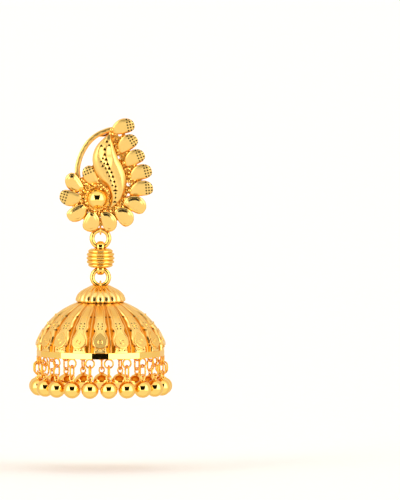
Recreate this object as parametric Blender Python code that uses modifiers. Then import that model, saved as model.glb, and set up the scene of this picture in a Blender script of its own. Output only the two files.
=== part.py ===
"""A jhumka earring: a flower stud, two heavy rings with a ridged bead between them, and a domed bell
whose rim carries a fringe of balls on jump rings.

Lengths are in metres and +Z is up. The front of the earring faces -Y, and the origin is where the
ear post stands on the back of the stud.
"""

import math
from collections import namedtuple

import bmesh
import bpy
from mathutils import Matrix, Vector

MM = 0.001

# Clearances
LINK_CLEARANCE = 0.12 * MM  # between a ring's wire and the hole that it passes through
SEAT_GAP = 0.12 * MM  # between two pieces that rest on each other
SOLDER_DEPTH = 0.12 * MM  # how far soldered pieces run into each other

# Stud: the tables below give places as shares of its reach and widths as shares of the petals'
STUD_REACH = 10.0 * MM
PETAL_WIDTH = 2.6 * MM
PETAL_THICKNESS = 0.85 * MM
PETAL_EDGE = 0.35 * MM
BACKING_THICKNESS = 0.7 * MM
LEAF_HEIGHT = 1.0 * MM
CENTRE_BALL_RADIUS = 1.6 * MM
COLLAR_WIRE = 0.45 * MM
ARC_WIRE = 0.75 * MM
STAY_WIRE = 0.35 * MM
PIERCING_RADIUS = 0.32 * MM

# Ear post
POST_LENGTH = 11.0 * MM
POST_DIAMETER = 0.95 * MM
POST_BASE_DIAMETER = 3.0 * MM
POST_BASE_THICKNESS = 0.4 * MM

# Rings and eyes
RING_BEHIND_BACK = 0.15 * MM  # the drop hangs this far behind the stud's back face
UPPER_RING_DIAMETER = 3.5 * MM
UPPER_RING_WIRE = 0.8 * MM
LOWER_RING_DIAMETER = 3.4 * MM
LOWER_RING_WIRE = 0.78 * MM
EYELET_WIRE = 0.3 * MM
BEAD_EYE_WIRE = 0.42 * MM
BEAD_EYE_WIDTH = 1.1 * MM
PIN_WIRE = 0.3 * MM
PIN_STEM_DIAMETER = 0.48 * MM
PIN_FOOT_DIAMETER = 2.0 * MM
PIN_FOOT_THICKNESS = 0.3 * MM

# Spacer bead
BEAD_DIAMETER = 4.5 * MM
BEAD_HEIGHT = 3.1 * MM
BEAD_RIDGES = 5
BEAD_TAPER = 0.27  # how much the barrel narrows towards its ends
RIDGE_DEPTH = 0.24 * MM
RIDGE_PROFILE = ((0.1, 1.0), (0.35, 0.15), (0.65, 0.15))  # shares of a ridge's pitch and depth
DISH_TAPER = 0.85  # how much narrower a dished end is at its floor
BEAD_NEST = 0.15 * MM  # how far a ring hangs into the bead's dished end

# Bell
CAP_DIAMETER = 8.0 * MM
CAP_HEIGHT = 2.5 * MM
CAP_NEST = 0.44 * MM  # how far the lower ring hangs into the cap's collar
CAP_FLUTES = 20
FLUTE_DEPTH = 0.26 * MM
DOME_DIAMETER = 20.7 * MM
DOME_HEIGHT = 7.94 * MM  # from the cap's edge down to where the dome's wall would stand upright
DOME_FULLNESS = 1.8  # 2 is an ellipse, less is more pointed
DOME_WALL = 0.5 * MM
PANELS = 18
PANEL_RELIEF = 0.35 * MM
BAND_FACETS = 24
BAND_INSET = 0.15 * MM  # how far the band's flats stand inside the dome's widest line
BAND_HEIGHT = 1.0 * MM
BAND_WALL = 0.6 * MM
BAND_LAP = 0.2 * MM  # how far the band laps over the dome's foot

# Fringe
DROPS = 21
DROP_TURN = math.radians(7.8)  # from the front to the first drop on the right
LOOP_INSET = 0.1 * MM  # how far the drops hang inside the band's flats
LOOP_DIAMETER = 1.66 * MM
LOOP_WIRE = 0.27 * MM
LINK_WIDTH = 1.5 * MM
LINK_HEIGHT = 2.14 * MM
LINK_WIRE = 0.28 * MM
LINK_PLAY = 0.07 * MM
BALL_DIAMETER = 2.8 * MM
BALL_EYE_DIAMETER = 1.06 * MM
BALL_EYE_HEIGHT = 1.2 * MM
BALL_EYE_WIRE = 0.26 * MM

# Sides of the meshed round pieces
RING_SIDES = 16
EYE_SIDES = 12
WIRE_SIDES = 6
BEAD_SIDES = 14
DOME_SIDES = 24
LINK_SIDES = 10
LINK_WIRE_SIDES = 5
BALL_SIDES = 10
BALL_ROWS = 6
PIERCING_SIDES = 8

# One row for each petal, clockwise from the top: its tail, its head, and its width
Petal = namedtuple("Petal", "tail_x tail_z head_x head_z width")
PETALS = (
    Petal(0.186, 0.600, 0.533, 0.718, 0.92),
    Petal(0.282, 0.287, 0.572, 0.513, 1.00),
    Petal(0.386, 0.079, 0.695, 0.235, 0.95),
    Petal(0.461, -0.138, 0.811, -0.008, 1.00),
    Petal(0.461, -0.328, 0.837, -0.289, 1.00),
    Petal(0.395, -0.467, 0.707, -0.649, 1.05),
    Petal(0.261, -0.606, 0.447, -0.889, 1.05),
    Petal(0.056, -0.667, 0.169, -0.979, 0.98),
    Petal(-0.100, -0.688, -0.213, -0.970, 1.00),
    Petal(-0.239, -0.589, -0.525, -0.762, 0.95),
    Petal(-0.317, -0.450, -0.650, -0.389, 1.00),
    Petal(-0.265, -0.302, -0.542, -0.077, 0.95),
    Petal(-0.048, -0.190, -0.221, 0.065, 0.92),
)
PETAL_FULLNESS = 0.4  # 0 is an oval, more draws the tail to a point
PETAL_SWELL = 0.12  # how far a petal's back bulges to its left, as a share of its length
PETAL_POINTS = 12

# One row for each section across the leaf, from its top tip down: its left and right edges, and
# how high it stands there
LeafSection = namedtuple("LeafSection", "left_x left_z right_x right_z rise")
LEAF = (
    LeafSection(0.135, 0.585, 0.160, 0.575, 0.35),
    LeafSection(-0.004, 0.461, 0.200, 0.430, 0.75),
    LeafSection(-0.091, 0.339, 0.235, 0.320, 0.95),
    LeafSection(-0.126, 0.183, 0.290, 0.180, 1.00),
    LeafSection(-0.091, 0.010, 0.351, 0.062, 1.00),
    LeafSection(0.004, -0.146, 0.398, -0.077, 1.00),
    LeafSection(0.100, -0.250, 0.403, -0.233, 1.00),
    LeafSection(0.160, -0.389, 0.369, -0.389, 0.90),
    LeafSection(0.169, -0.511, 0.299, -0.502, 0.70),
    LeafSection(0.150, -0.595, 0.170, -0.597, 0.35),
)
# Across the leaf from its left edge to its right one: the share across, and the share of the rise
LEAF_PROFILE = (
    (0.00, 0.45),
    (0.16, 0.95),
    (0.34, 1.00),
    (0.50, 0.55),
    (0.68, 1.00),
    (0.86, 0.92),
    (1.00, 0.45),
)

CENTRE_BALL_AT = (-0.053, -0.450)
BALL_PROUD = 0.75  # how far its middle stands off the backing, as a share of its radius
ARC = (
    (0.200, 0.650),
    (0.131, 0.643),
    (-0.039, 0.574),
    (-0.178, 0.461),
    (-0.282, 0.305),
    (-0.343, 0.149),
    (-0.369, -0.008),
    (-0.345, -0.190),
)
STAY = ((-0.025, 0.555), (0.060, 0.553), (0.140, 0.590))
# The backing's outline, out along the petals and back up behind the leaf
BACKING = (
    (0.150, 0.640),
    (0.360, 0.660),
    (0.430, 0.400),
    (0.540, 0.160),
    (0.640, -0.070),
    (0.650, -0.310),
    (0.550, -0.560),
    (0.360, -0.750),
    (0.130, -0.860),
    (0.000, -0.890),
    (-0.160, -0.860),
    (-0.390, -0.680),
    (-0.490, -0.420),
    (-0.410, -0.190),
    (-0.140, -0.020),
    (-0.030, 0.150),
    (0.030, 0.350),
    (0.130, 0.540),
)
PIERCINGS = (
    (0.308, 0.574),
    (0.290, 0.200),
    (0.447, -0.224),
    (0.440, -0.400),
    (0.273, -0.719),
    (0.022, -0.762),
    (-0.175, -0.690),
    (-0.330, -0.370),
    (-0.080, -0.140),
)

# Down a raised panel, from the cap to the band: share of the way down, half width as a share of
# half a panel's pitch, and relief. It is a bottle: shoulders, a round boss, a neck, a wide plate
PanelSection = namedtuple("PanelSection", "down width relief")
PANEL = (
    PanelSection(0.00, 0.80, 0.0),
    PanelSection(0.05, 0.80, 0.9),
    PanelSection(0.15, 0.78, 1.0),
    PanelSection(0.30, 0.60, 1.0),
    PanelSection(0.42, 0.64, 1.0),
    PanelSection(0.54, 0.34, 1.0),
    PanelSection(0.71, 0.70, 1.0),
    PanelSection(0.83, 0.46, 1.0),
    PanelSection(1.00, 0.38, 0.5),
)
HIDDEN_CROWN = 0.24  # radius where the dome's inside turns from crown to wall, as a share of its reach
WALL_STEPS = (0.25, 0.55, 0.8, 1.0)  # sections down the dome's inside, as shares of the way down
PANEL_SLOPE = 0.10  # width of the slope at a panel's edge, as a share of half the pitch

# Down the cap, from its collar to its edge: share of the radius, share of the height, flute depth
CapSection = namedtuple("CapSection", "radius down flute")
CAP = (
    CapSection(0.36, 0.00, 0.0),
    CapSection(0.43, 0.06, 0.1),
    CapSection(0.58, 0.18, 0.4),
    CapSection(0.76, 0.32, 0.7),
    CapSection(0.92, 0.54, 1.0),
    CapSection(1.00, 0.82, 0.8),
    CapSection(1.00, 1.00, 0.6),
)

CAP_SEAT_STEPS = (0.5, 0.76)  # sections across the cap's hollow, as shares of its radius

# Heights that follow from the sizes above
backing_bottom = STUD_REACH * min(z for _, z in BACKING)


def eye_hole(wire):
    """Radius of a hole that a wire passes through."""
    return wire / 2 + LINK_CLEARANCE


def ring_middle(diameter, wire):
    """Radius of the middle of a ring's wire."""
    return (diameter - wire) / 2


eyelet_middle = eye_hole(UPPER_RING_WIRE) + EYELET_WIRE / 2
eyelet_z = backing_bottom + SOLDER_DEPTH - eyelet_middle - EYELET_WIRE / 2
upper_ring_middle = ring_middle(UPPER_RING_DIAMETER, UPPER_RING_WIRE)
upper_ring_z = eyelet_z - upper_ring_middle
bead_top_eye_z = upper_ring_z - upper_ring_middle
bead_top_z = upper_ring_z - UPPER_RING_DIAMETER / 2 + BEAD_NEST
bead_bottom_z = bead_top_z - BEAD_HEIGHT
lower_ring_z = bead_bottom_z + BEAD_NEST - LOWER_RING_DIAMETER / 2
lower_ring_middle = ring_middle(LOWER_RING_DIAMETER, LOWER_RING_WIRE)
bead_bottom_eye_z = lower_ring_z + lower_ring_middle
pin_eye_z = lower_ring_z - lower_ring_middle
pin_eye_middle = eye_hole(LOWER_RING_WIRE) + PIN_WIRE / 2
cap_top_z = lower_ring_z - LOWER_RING_DIAMETER / 2 + CAP_NEST
cap_floor_z = pin_eye_z - pin_eye_middle - PIN_WIRE / 2 - SEAT_GAP
cap_bottom_z = cap_top_z - CAP_HEIGHT
dome_foot_z = cap_bottom_z - DOME_HEIGHT
band_top_z = dome_foot_z + BAND_LAP
band_bottom_z = band_top_z - BAND_HEIGHT
dome_reach = DOME_DIAMETER / 2
band_flat_radius = dome_reach - BAND_INSET
band_inner_radius = band_flat_radius - BAND_WALL
drop_circle_radius = band_flat_radius - LOOP_INSET
# The crown's height is the one that brings the dome out to the cap's edge at the cap's bottom
crown_rise = DOME_HEIGHT / (1 - (CAP_DIAMETER / DOME_DIAMETER) ** DOME_FULLNESS) ** (1 / DOME_FULLNESS)
outer_crown_z = dome_foot_z + crown_rise - PANEL_RELIEF
foot_room = PIN_FOOT_DIAMETER / 2 + SEAT_GAP
loop_middle = ring_middle(LOOP_DIAMETER, LOOP_WIRE)
loop_z = band_bottom_z - loop_middle
link_top_z = loop_z - loop_middle + (LOOP_WIRE + LINK_WIRE) / 2 + LINK_PLAY
link_half_height = (LINK_HEIGHT - LINK_WIRE) / 2
link_bottom_z = link_top_z - 2 * link_half_height
ball_eye_top_z = link_bottom_z + (LINK_WIRE + BALL_EYE_WIRE) / 2 + LINK_PLAY
ball_top_z = ball_eye_top_z + BALL_EYE_WIRE / 2 - BALL_EYE_HEIGHT + SOLDER_DEPTH
ball_z = ball_top_z - BALL_DIAMETER / 2
drop_y = RING_BEHIND_BACK


def clear_scene():
    """Remove what the scene holds."""
    for old in list(bpy.data.objects):
        bpy.data.objects.remove(old, do_unlink=True)


def collection_named(name):
    """A new collection in the scene."""
    collection = bpy.data.collections.new(name)
    bpy.context.scene.collection.children.link(collection)
    return collection


def gold(name, colour, roughness):
    """A gold finish."""
    material = bpy.data.materials.new(name)
    material.use_nodes = True
    shader = material.node_tree.nodes["Principled BSDF"]
    shader.inputs["Base Color"].default_value = (*colour, 1.0)
    shader.inputs["Metallic"].default_value = 1.0
    shader.inputs["Roughness"].default_value = roughness
    material.diffuse_color = (*colour, 1.0)
    return material


def tidy_mesh(mesh):
    """Weld a mesh's doubles and turn its faces out."""
    shape = bmesh.new()
    shape.from_mesh(mesh)
    bmesh.ops.remove_doubles(shape, verts=shape.verts, dist=1e-7)
    bmesh.ops.recalc_face_normals(shape, faces=shape.faces)
    shape.to_mesh(mesh)
    shape.free()
    return mesh


def evaluated_mesh(owner):
    """The mesh of an object with its modifiers applied. The object is removed."""
    bpy.context.view_layer.update()
    graph = bpy.context.evaluated_depsgraph_get()
    mesh = bpy.data.meshes.new_from_object(owner.evaluated_get(graph))
    mesh.transform(owner.matrix_world)
    bpy.data.objects.remove(owner, do_unlink=True)
    return tidy_mesh(mesh)


def scratch_object(name, data):
    """An object that is used up while a shape is made."""
    scratch = bpy.data.objects.new(name, data)
    bpy.context.scene.collection.objects.link(scratch)
    return scratch


def moved(mesh, x=0.0, y=0.0, z=0.0, turn=0.0):
    """A mesh turned about the Z axis and then moved."""
    mesh.transform(Matrix.Translation((x, y, z)) @ Matrix.Rotation(turn, 4, "Z"))
    return mesh


def turned_mesh(name, profile, sides, start=0.0):
    """A solid turned round the Z axis from (radius, height) points that run down its outer side."""
    mesh = bpy.data.meshes.new(name)
    points = [(radius, 0.0, height) for radius, height in profile]
    edges = [(index, index + 1) for index in range(len(points) - 1)]
    if profile[0][0] > 0.0:
        edges.append((len(points) - 1, 0))
    mesh.from_pydata(points, edges, [])
    lathe = scratch_object(name, mesh)
    screw = lathe.modifiers.new("turn", "SCREW")
    screw.steps = sides
    screw.render_steps = sides
    screw.use_merge_vertices = True
    screw.merge_threshold = 1e-6
    turned = evaluated_mesh(lathe)
    return moved(turned, turn=start)


def torus_mesh(
    name, middle, wire, plane="XZ", sides=RING_SIDES, wire_sides=WIRE_SIDES, width=None, stretch=0.0
):
    """A closed ring of wire in the XZ or YZ plane round the origin.

    width is the wire's size along the ring's axis, and stretch parts the upper and lower halves.
    """
    shape = bmesh.new()
    section = bmesh.ops.create_circle(shape, segments=wire_sides, radius=wire / 2)["verts"]
    bmesh.ops.scale(shape, verts=section, vec=(1.0, (width or wire) / wire, 1.0))
    bmesh.ops.translate(shape, verts=section, vec=(middle, 0.0, 0.0))
    bmesh.ops.rotate(shape, verts=section, matrix=Matrix.Rotation(math.pi / sides, 3, "Y"))
    bmesh.ops.spin(
        shape,
        geom=shape.verts[:] + shape.edges[:],
        cent=(0.0, 0.0, 0.0),
        axis=(0.0, 1.0, 0.0),
        angle=2 * math.pi,
        steps=sides,
        use_merge=True,
    )
    for vertex in shape.verts:
        vertex.co.z += math.copysign(stretch / 2, vertex.co.z)
    mesh = bpy.data.meshes.new(name)
    shape.to_mesh(mesh)
    shape.free()
    if plane == "YZ":
        mesh.transform(Matrix.Rotation(math.pi / 2, 4, "Z"))
    return tidy_mesh(mesh)


def ball_mesh(name, radius, sides=BALL_SIDES, rows=BALL_ROWS):
    """A meshed ball round the origin."""
    shape = bmesh.new()
    bmesh.ops.create_uvsphere(shape, u_segments=sides, v_segments=rows, radius=radius)
    mesh = bpy.data.meshes.new(name)
    shape.to_mesh(mesh)
    shape.free()
    return mesh


def loft_mesh(name, rings):
    """A closed solid through rings of points, with a flat cap on the first and the last."""
    shape = bmesh.new()
    rows = [[shape.verts.new(point) for point in ring] for ring in rings]
    count = len(rows[0])
    for upper, lower in zip(rows, rows[1:]):
        for index in range(count):
            after = (index + 1) % count
            shape.faces.new((upper[index], upper[after], lower[after], lower[index]))
    shape.faces.new(rows[0])
    shape.faces.new(rows[-1])
    mesh = bpy.data.meshes.new(name)
    shape.to_mesh(mesh)
    shape.free()
    return tidy_mesh(mesh)


def wire_mesh(name, points, thickness):
    """A round wire through points."""
    curve = bpy.data.curves.new(name, "CURVE")
    curve.dimensions = "3D"
    curve.bevel_depth = thickness / 2
    curve.bevel_resolution = 1
    curve.use_fill_caps = True
    spline = curve.splines.new("POLY")
    spline.points.add(len(points) - 1)
    for place, point in zip(spline.points, points):
        place.co = (*point, 1.0)
    return evaluated_mesh(scratch_object(name, curve))


def plate_mesh(name, outline, front, back):
    """A flat plate of an XZ outline between two depths."""
    rings = [[(x, depth, z) for x, z in outline] for depth in (front, back)]
    return loft_mesh(name, rings)


def combined_mesh(name, base, additions=(), cuts=()):
    """One solid: a base mesh with others fused to it and then others cut out of it."""
    solid = scratch_object(name, base)
    tools = []
    for operation, meshes in (("UNION", additions), ("DIFFERENCE", cuts)):
        for mesh in meshes:
            tool = scratch_object(f"{name}_tool", mesh)
            tools.append(tool)
            boolean = solid.modifiers.new(operation.lower(), "BOOLEAN")
            boolean.operation = operation
            boolean.solver = "EXACT"
            boolean.object = tool
    mesh = evaluated_mesh(solid)
    for tool in tools:
        bpy.data.objects.remove(tool, do_unlink=True)
    mesh.name = name
    return mesh


def add_part(name, mesh, finish, collection):
    """Put a finished mesh into the model as one named piece."""
    mesh.materials.clear()
    mesh.materials.append(finish)
    mesh.shade_smooth()
    mesh.set_sharp_from_angle(angle=math.radians(35))
    part = bpy.data.objects.new(name, mesh)
    collection.objects.link(part)
    return part


def stud_point(x, z, depth):
    """A point of the stud from its table's shares, this far in front of its back face."""
    return (x * STUD_REACH, -depth, z * STUD_REACH)


def petal_ring(petal, inset, depth):
    """The outline of a petal, drawn in by an inset, at one depth."""
    tail = Vector((petal.tail_x, petal.tail_z)) * STUD_REACH
    along = Vector((petal.head_x, petal.head_z)) * STUD_REACH - tail
    length = along.length
    along.normalize()
    left = Vector((-along.y, along.x))
    half_width = petal.width * PETAL_WIDTH / 2
    widest = (1 + 2 * PETAL_FULLNESS) / (2 + 2 * PETAL_FULLNESS)
    fullest = 2 * widest ** (0.5 + PETAL_FULLNESS) * math.sqrt(1 - widest)
    ring = []
    for index in range(PETAL_POINTS):
        angle = 2 * math.pi * (index + 0.5) / PETAL_POINTS
        reached = (1 - math.cos(angle)) / 2
        across = math.sin(angle) * reached**PETAL_FULLNESS / fullest
        shrink = 1 - inset / half_width
        forward = length / 2 + (reached - 0.5) * (length - 2 * inset)
        swell = 4 * PETAL_SWELL * reached * (1 - reached) * length
        place = tail + along * forward + left * (across * half_width * shrink + swell)
        ring.append((place.x, -depth, place.y))
    return ring


def petal_mesh(petal):
    """A cast petal with a rounded edge, its foot sunk into the backing."""
    foot = BACKING_THICKNESS - SOLDER_DEPTH
    top = foot + PETAL_THICKNESS
    rings = [
        petal_ring(petal, 0.0, foot),
        petal_ring(petal, 0.0, top - PETAL_EDGE),
        petal_ring(petal, PETAL_EDGE, top),
    ]
    return loft_mesh("petal", rings)


def leaf_mesh():
    """The S-shaped leaf: two smooth lobes with a sunken middle."""
    foot = BACKING_THICKNESS - SOLDER_DEPTH
    base = foot + PETAL_THICKNESS
    rings = []
    for section in LEAF:
        ring = [stud_point(section.left_x, section.left_z, foot)]
        for across, rise in LEAF_PROFILE:
            x = section.left_x + (section.right_x - section.left_x) * across
            z = section.left_z + (section.right_z - section.left_z) * across
            ring.append(stud_point(x, z, base + LEAF_HEIGHT * rise * section.rise))
        ring.append(stud_point(section.right_x, section.right_z, foot))
        rings.append(ring)
    return loft_mesh("leaf", rings)


def piercing_mesh(x, z):
    """The cutter of one hole through the backing."""
    depth = BACKING_THICKNESS
    profile = ((0.0, 2 * depth), (PIERCING_RADIUS, 2 * depth), (PIERCING_RADIUS, -depth), (0.0, -depth))
    hole = turned_mesh("piercing", profile, PIERCING_SIDES)
    hole.transform(Matrix.Rotation(math.pi / 2, 4, "X"))
    return moved(hole, x * STUD_REACH, 0.0, z * STUD_REACH)


def stud_mesh():
    """The stud: pierced backing, petals, leaf, wires, ball in its collar, and the eyelet."""
    outline = [(x * STUD_REACH, z * STUD_REACH) for x, z in BACKING]
    backing = plate_mesh("backing", outline, -BACKING_THICKNESS, 0.0)
    ball_x, ball_z = (share * STUD_REACH for share in CENTRE_BALL_AT)
    ball_depth = BACKING_THICKNESS + CENTRE_BALL_RADIUS * BALL_PROUD
    ball = ball_mesh("centre_ball", CENTRE_BALL_RADIUS, RING_SIDES, BALL_ROWS)
    collar_middle = CENTRE_BALL_RADIUS + COLLAR_WIRE / 4
    collar = torus_mesh("collar", collar_middle, COLLAR_WIRE, wire_sides=5)
    collar_depth = BACKING_THICKNESS + COLLAR_WIRE / 2 - SOLDER_DEPTH
    arc_depth = ARC_WIRE / 2 + SOLDER_DEPTH / 2
    arc = wire_mesh("arc_wire", [stud_point(x, z, arc_depth) for x, z in ARC], ARC_WIRE)
    stay = wire_mesh("stay_wire", [stud_point(x, z, arc_depth) for x, z in STAY], STAY_WIRE)
    eyelet = torus_mesh("eyelet", eyelet_middle, EYELET_WIRE, "YZ", EYE_SIDES)
    moved(ball, ball_x, -ball_depth, ball_z)
    moved(collar, ball_x, -collar_depth, ball_z)
    moved(eyelet, 0.0, drop_y, eyelet_z)
    pierced = combined_mesh("backing", backing, cuts=[piercing_mesh(x, z) for x, z in PIERCINGS])
    raised = [petal_mesh(petal) for petal in PETALS]
    return combined_mesh("stud_flower", pierced, [*raised, leaf_mesh(), arc, stay, collar, ball, eyelet])


def post_mesh():
    """The plain ear post on its base disc, turned and then laid along +Y."""
    base_radius = POST_BASE_DIAMETER / 2
    radius = POST_DIAMETER / 2
    profile = (
        (0.0, POST_LENGTH),
        (radius * 0.6, POST_LENGTH),
        (radius, POST_LENGTH - radius),
        (radius, SEAT_GAP + POST_BASE_THICKNESS),
        (base_radius, SEAT_GAP + POST_BASE_THICKNESS),
        (base_radius, SEAT_GAP),
        (0.0, SEAT_GAP),
    )
    mesh = turned_mesh("ear_post", profile, EYE_SIDES)
    mesh.transform(Matrix.Rotation(-math.pi / 2, 4, "X"))
    return mesh


def dish_radius(diameter, wire, nest):
    """Radius of a dished end that a ring hangs into and swings in."""
    outer = diameter / 2
    chord = math.sqrt(outer**2 - (outer - nest) ** 2)
    return math.hypot(chord, wire / 2) + 2 * LINK_CLEARANCE


def bead_mesh():
    """The ridged bead with its dished ends and an eye in each."""
    top_dish = dish_radius(UPPER_RING_DIAMETER, UPPER_RING_WIRE, BEAD_NEST)
    bottom_dish = dish_radius(LOWER_RING_DIAMETER, LOWER_RING_WIRE, BEAD_NEST)
    top_eye_middle = eye_hole(UPPER_RING_WIRE) + BEAD_EYE_WIRE / 2
    bottom_eye_middle = eye_hole(LOWER_RING_WIRE) + BEAD_EYE_WIRE / 2
    top_floor_z = bead_top_eye_z - top_eye_middle
    bottom_floor_z = bead_bottom_eye_z + bottom_eye_middle
    pitch = BEAD_HEIGHT / BEAD_RIDGES
    middle_z = (bead_top_z + bead_bottom_z) / 2
    profile = [(0.0, top_floor_z), (top_dish * DISH_TAPER, top_floor_z), (top_dish, bead_top_z)]
    for ridge in range(BEAD_RIDGES):
        for part, depth in RIDGE_PROFILE:
            height = bead_top_z - pitch * (ridge + part)
            away = abs(height - middle_z) / (BEAD_HEIGHT / 2)
            barrel = BEAD_DIAMETER / 2 * (1 - BEAD_TAPER * away**3)
            profile.append((barrel - RIDGE_DEPTH * depth, height))
    profile.append((bottom_dish, bead_bottom_z))
    profile.append((bottom_dish * DISH_TAPER, bottom_floor_z))
    profile.append((0.0, bottom_floor_z))
    body = turned_mesh("spacer_bead", profile, BEAD_SIDES)
    eyes = []
    for middle, height in ((top_eye_middle, bead_top_eye_z), (bottom_eye_middle, bead_bottom_eye_z)):
        eye = torus_mesh("bead_eye", middle, BEAD_EYE_WIRE, "YZ", EYE_SIDES, width=BEAD_EYE_WIDTH)
        eyes.append(moved(eye, z=height))
    return moved(combined_mesh("spacer_bead", body, eyes), y=drop_y)


def add_ring(name, middle, wire, height, finish, collection):
    """A heavy ring facing the front."""
    add_part(name, moved(torus_mesh(name, middle, wire), y=drop_y, z=height), finish, collection)


def dome_radius(height, reach, rise):
    """Radius of the dome at a height, for a surface of this reach and rise."""
    share = min(max((height - dome_foot_z) / rise, 0.0), 1.0)
    return reach * (1 - share**DOME_FULLNESS) ** (1 / DOME_FULLNESS)


def dome_height(radius, reach, rise):
    """Height at which the dome has a radius, for a surface of this reach and rise."""
    share = (1 - (radius / reach) ** DOME_FULLNESS) ** (1 / DOME_FULLNESS)
    return dome_foot_z + rise * share


def dome_profile(inset, radii, foot):
    """Points down the dome's curve, drawn in by an inset, from radii near the crown to a height."""
    reach = dome_reach - inset
    rise = crown_rise - inset
    crown = [(radius, dome_height(radius, reach, rise)) for radius in radii]
    low = crown[-1][1]
    rest = [low + (foot - low) * share for share in WALL_STEPS]
    return crown + [(dome_radius(height, reach, rise), height) for height in rest]


def pin_mesh():
    """The pin that carries the bell: an eye, a stem and a foot inside the dome."""
    radius = PIN_STEM_DIAMETER / 2
    stem_top = pin_eye_z - pin_eye_middle + PIN_WIRE / 4
    inset = PANEL_RELIEF + DOME_WALL
    foot_top = dome_height(foot_room, dome_reach - inset, crown_rise - inset) - SEAT_GAP
    foot_radius = PIN_FOOT_DIAMETER / 2
    profile = (
        (0.0, stem_top),
        (radius, stem_top),
        (radius, foot_top),
        (foot_radius, foot_top),
        (foot_radius, foot_top - PIN_FOOT_THICKNESS),
        (0.0, foot_top - PIN_FOOT_THICKNESS),
    )
    stem = turned_mesh("cap_eye_pin", profile, LINK_SIDES)
    eye = moved(torus_mesh("pin_eye", pin_eye_middle, PIN_WIRE, "YZ", EYE_SIDES), z=pin_eye_z)
    return moved(combined_mesh("cap_eye_pin", stem, [eye]), y=drop_y)


def cap_mesh():
    """The fluted cap, dished on top for the ring and hollow underneath to sit on the dome."""
    columns = 2 * CAP_FLUTES
    rings = []
    for section in CAP:
        height = cap_top_z - section.down * CAP_HEIGHT
        ring = []
        for column in range(columns):
            angle = -math.pi / 2 + 2 * math.pi * column / columns
            depth = FLUTE_DEPTH * section.flute * (column % 2)
            radius = section.radius * CAP_DIAMETER / 2 - depth
            ring.append((radius * math.cos(angle), radius * math.sin(angle), height))
        rings.append(ring)
    solid = loft_mesh("bell_cap", rings)
    dish = dish_radius(LOWER_RING_DIAMETER, LOWER_RING_WIRE, CAP_NEST)
    hole = eye_hole(PIN_STEM_DIAMETER)
    well = (
        (0.0, cap_top_z + CAP_HEIGHT),
        (dish, cap_top_z + CAP_HEIGHT),
        (dish, cap_floor_z),
        (hole, cap_floor_z),
        (hole, outer_crown_z),
        (0.0, outer_crown_z),
    )
    below = cap_bottom_z - SEAT_GAP
    cover = (dome_reach - PANEL_RELIEF + SEAT_GAP, crown_rise - PANEL_RELIEF + SEAT_GAP)
    hollow = [(0.0, outer_crown_z + SEAT_GAP)]
    for share in CAP_SEAT_STEPS:
        hollow.append((share * CAP_DIAMETER / 2, dome_height(share * CAP_DIAMETER / 2, *cover)))
    hollow += [(dome_radius(below, *cover), below), (0.0, below)]
    cuts = [turned_mesh("well", well, BEAD_SIDES), turned_mesh("hollow", hollow, CAP_FLUTES)]
    return moved(combined_mesh("bell_cap", solid, cuts=cuts), y=drop_y)


def dome_rings():
    """Rings of points down the dome's outside, each with four points for each panel."""
    base = (dome_reach - PANEL_RELIEF, crown_rise - PANEL_RELIEF)
    crest = (dome_reach, crown_rise)
    pitch = 2 * math.pi / PANELS
    crown_radius = 2 * eye_hole(PIN_STEM_DIAMETER)
    top_z = cap_bottom_z - SEAT_GAP
    rows = [(PANEL[0], crown_radius, crown_radius, dome_height(crown_radius, *base))]
    for section in PANEL:
        height = top_z + (band_top_z - top_z) * section.down
        low = dome_radius(height, *base)
        raised = low + (dome_radius(height, *crest) - low) * section.relief
        rows.append((section, low, raised, height))
    rows.append((PANEL[-1], base[0], base[0] + (crest[0] - base[0]) * PANEL[-1].relief, dome_foot_z))
    rings = []
    for section, low, raised, height in rows:
        foot = section.width + PANEL_SLOPE
        corners = ((-foot, low), (-section.width, raised), (section.width, raised), (foot, low))
        ring = []
        for panel in range(PANELS):
            for across, radius in corners:
                angle = -math.pi / 2 + pitch * (panel + across / 2)
                ring.append((radius * math.cos(angle), radius * math.sin(angle), height))
        rings.append(ring)
    return rings


def rim_loops():
    """The small loops soldered under the band, one for each drop."""
    loops = []
    for drop in range(DROPS):
        loop = torus_mesh("rim_loop", loop_middle, LOOP_WIRE, sides=LINK_SIDES, wire_sides=LINK_WIRE_SIDES)
        loops.append(moved(at_drop(loop, drop), z=loop_z))
    return loops


def dome_mesh():
    """The bell: panelled shell, faceted band and rim loops."""
    hole = eye_hole(PIN_STEM_DIAMETER)
    inner = dome_profile(PANEL_RELIEF + DOME_WALL, (hole, foot_room, HIDDEN_CROWN * dome_reach), dome_foot_z)
    inner_foot = inner[-1][0]
    above = cap_top_z
    below = dome_foot_z - BAND_HEIGHT
    hollow = [(0.0, above), (hole, above), *inner, (inner_foot, below), (0.0, below)]
    cutter = turned_mesh("hollow", hollow, DOME_SIDES)
    shell = combined_mesh("bell_dome", loft_mesh("dome", dome_rings()), cuts=[cutter])
    corner_radius = band_flat_radius / math.cos(math.pi / BAND_FACETS)
    band_profile = (
        (corner_radius, band_top_z),
        (corner_radius, band_bottom_z),
        (band_inner_radius, band_bottom_z),
        (band_inner_radius, band_top_z),
    )
    band = turned_mesh("band", band_profile, BAND_FACETS, start=math.pi / BAND_FACETS)
    return moved(combined_mesh("bell_dome", shell, [band, *rim_loops()]), y=drop_y)


def at_drop(mesh, drop):
    """A mesh made on the Z axis, facing the front, carried out to the place of one drop."""
    angle = DROP_TURN + 2 * math.pi * drop / DROPS
    mesh.transform(Matrix.Rotation(angle, 4, "Z") @ Matrix.Translation((0.0, -drop_circle_radius, 0.0)))
    return mesh


def link_mesh():
    """A jump ring, taller than wide, that faces along the rim."""
    middle = (LINK_WIDTH - LINK_WIRE) / 2
    stretch = 2 * (link_half_height - middle)
    link = torus_mesh("drop_link", middle, LINK_WIRE, "YZ", LINK_SIDES, LINK_WIRE_SIDES, stretch=stretch)
    return moved(link, z=link_top_z - link_half_height)


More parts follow.
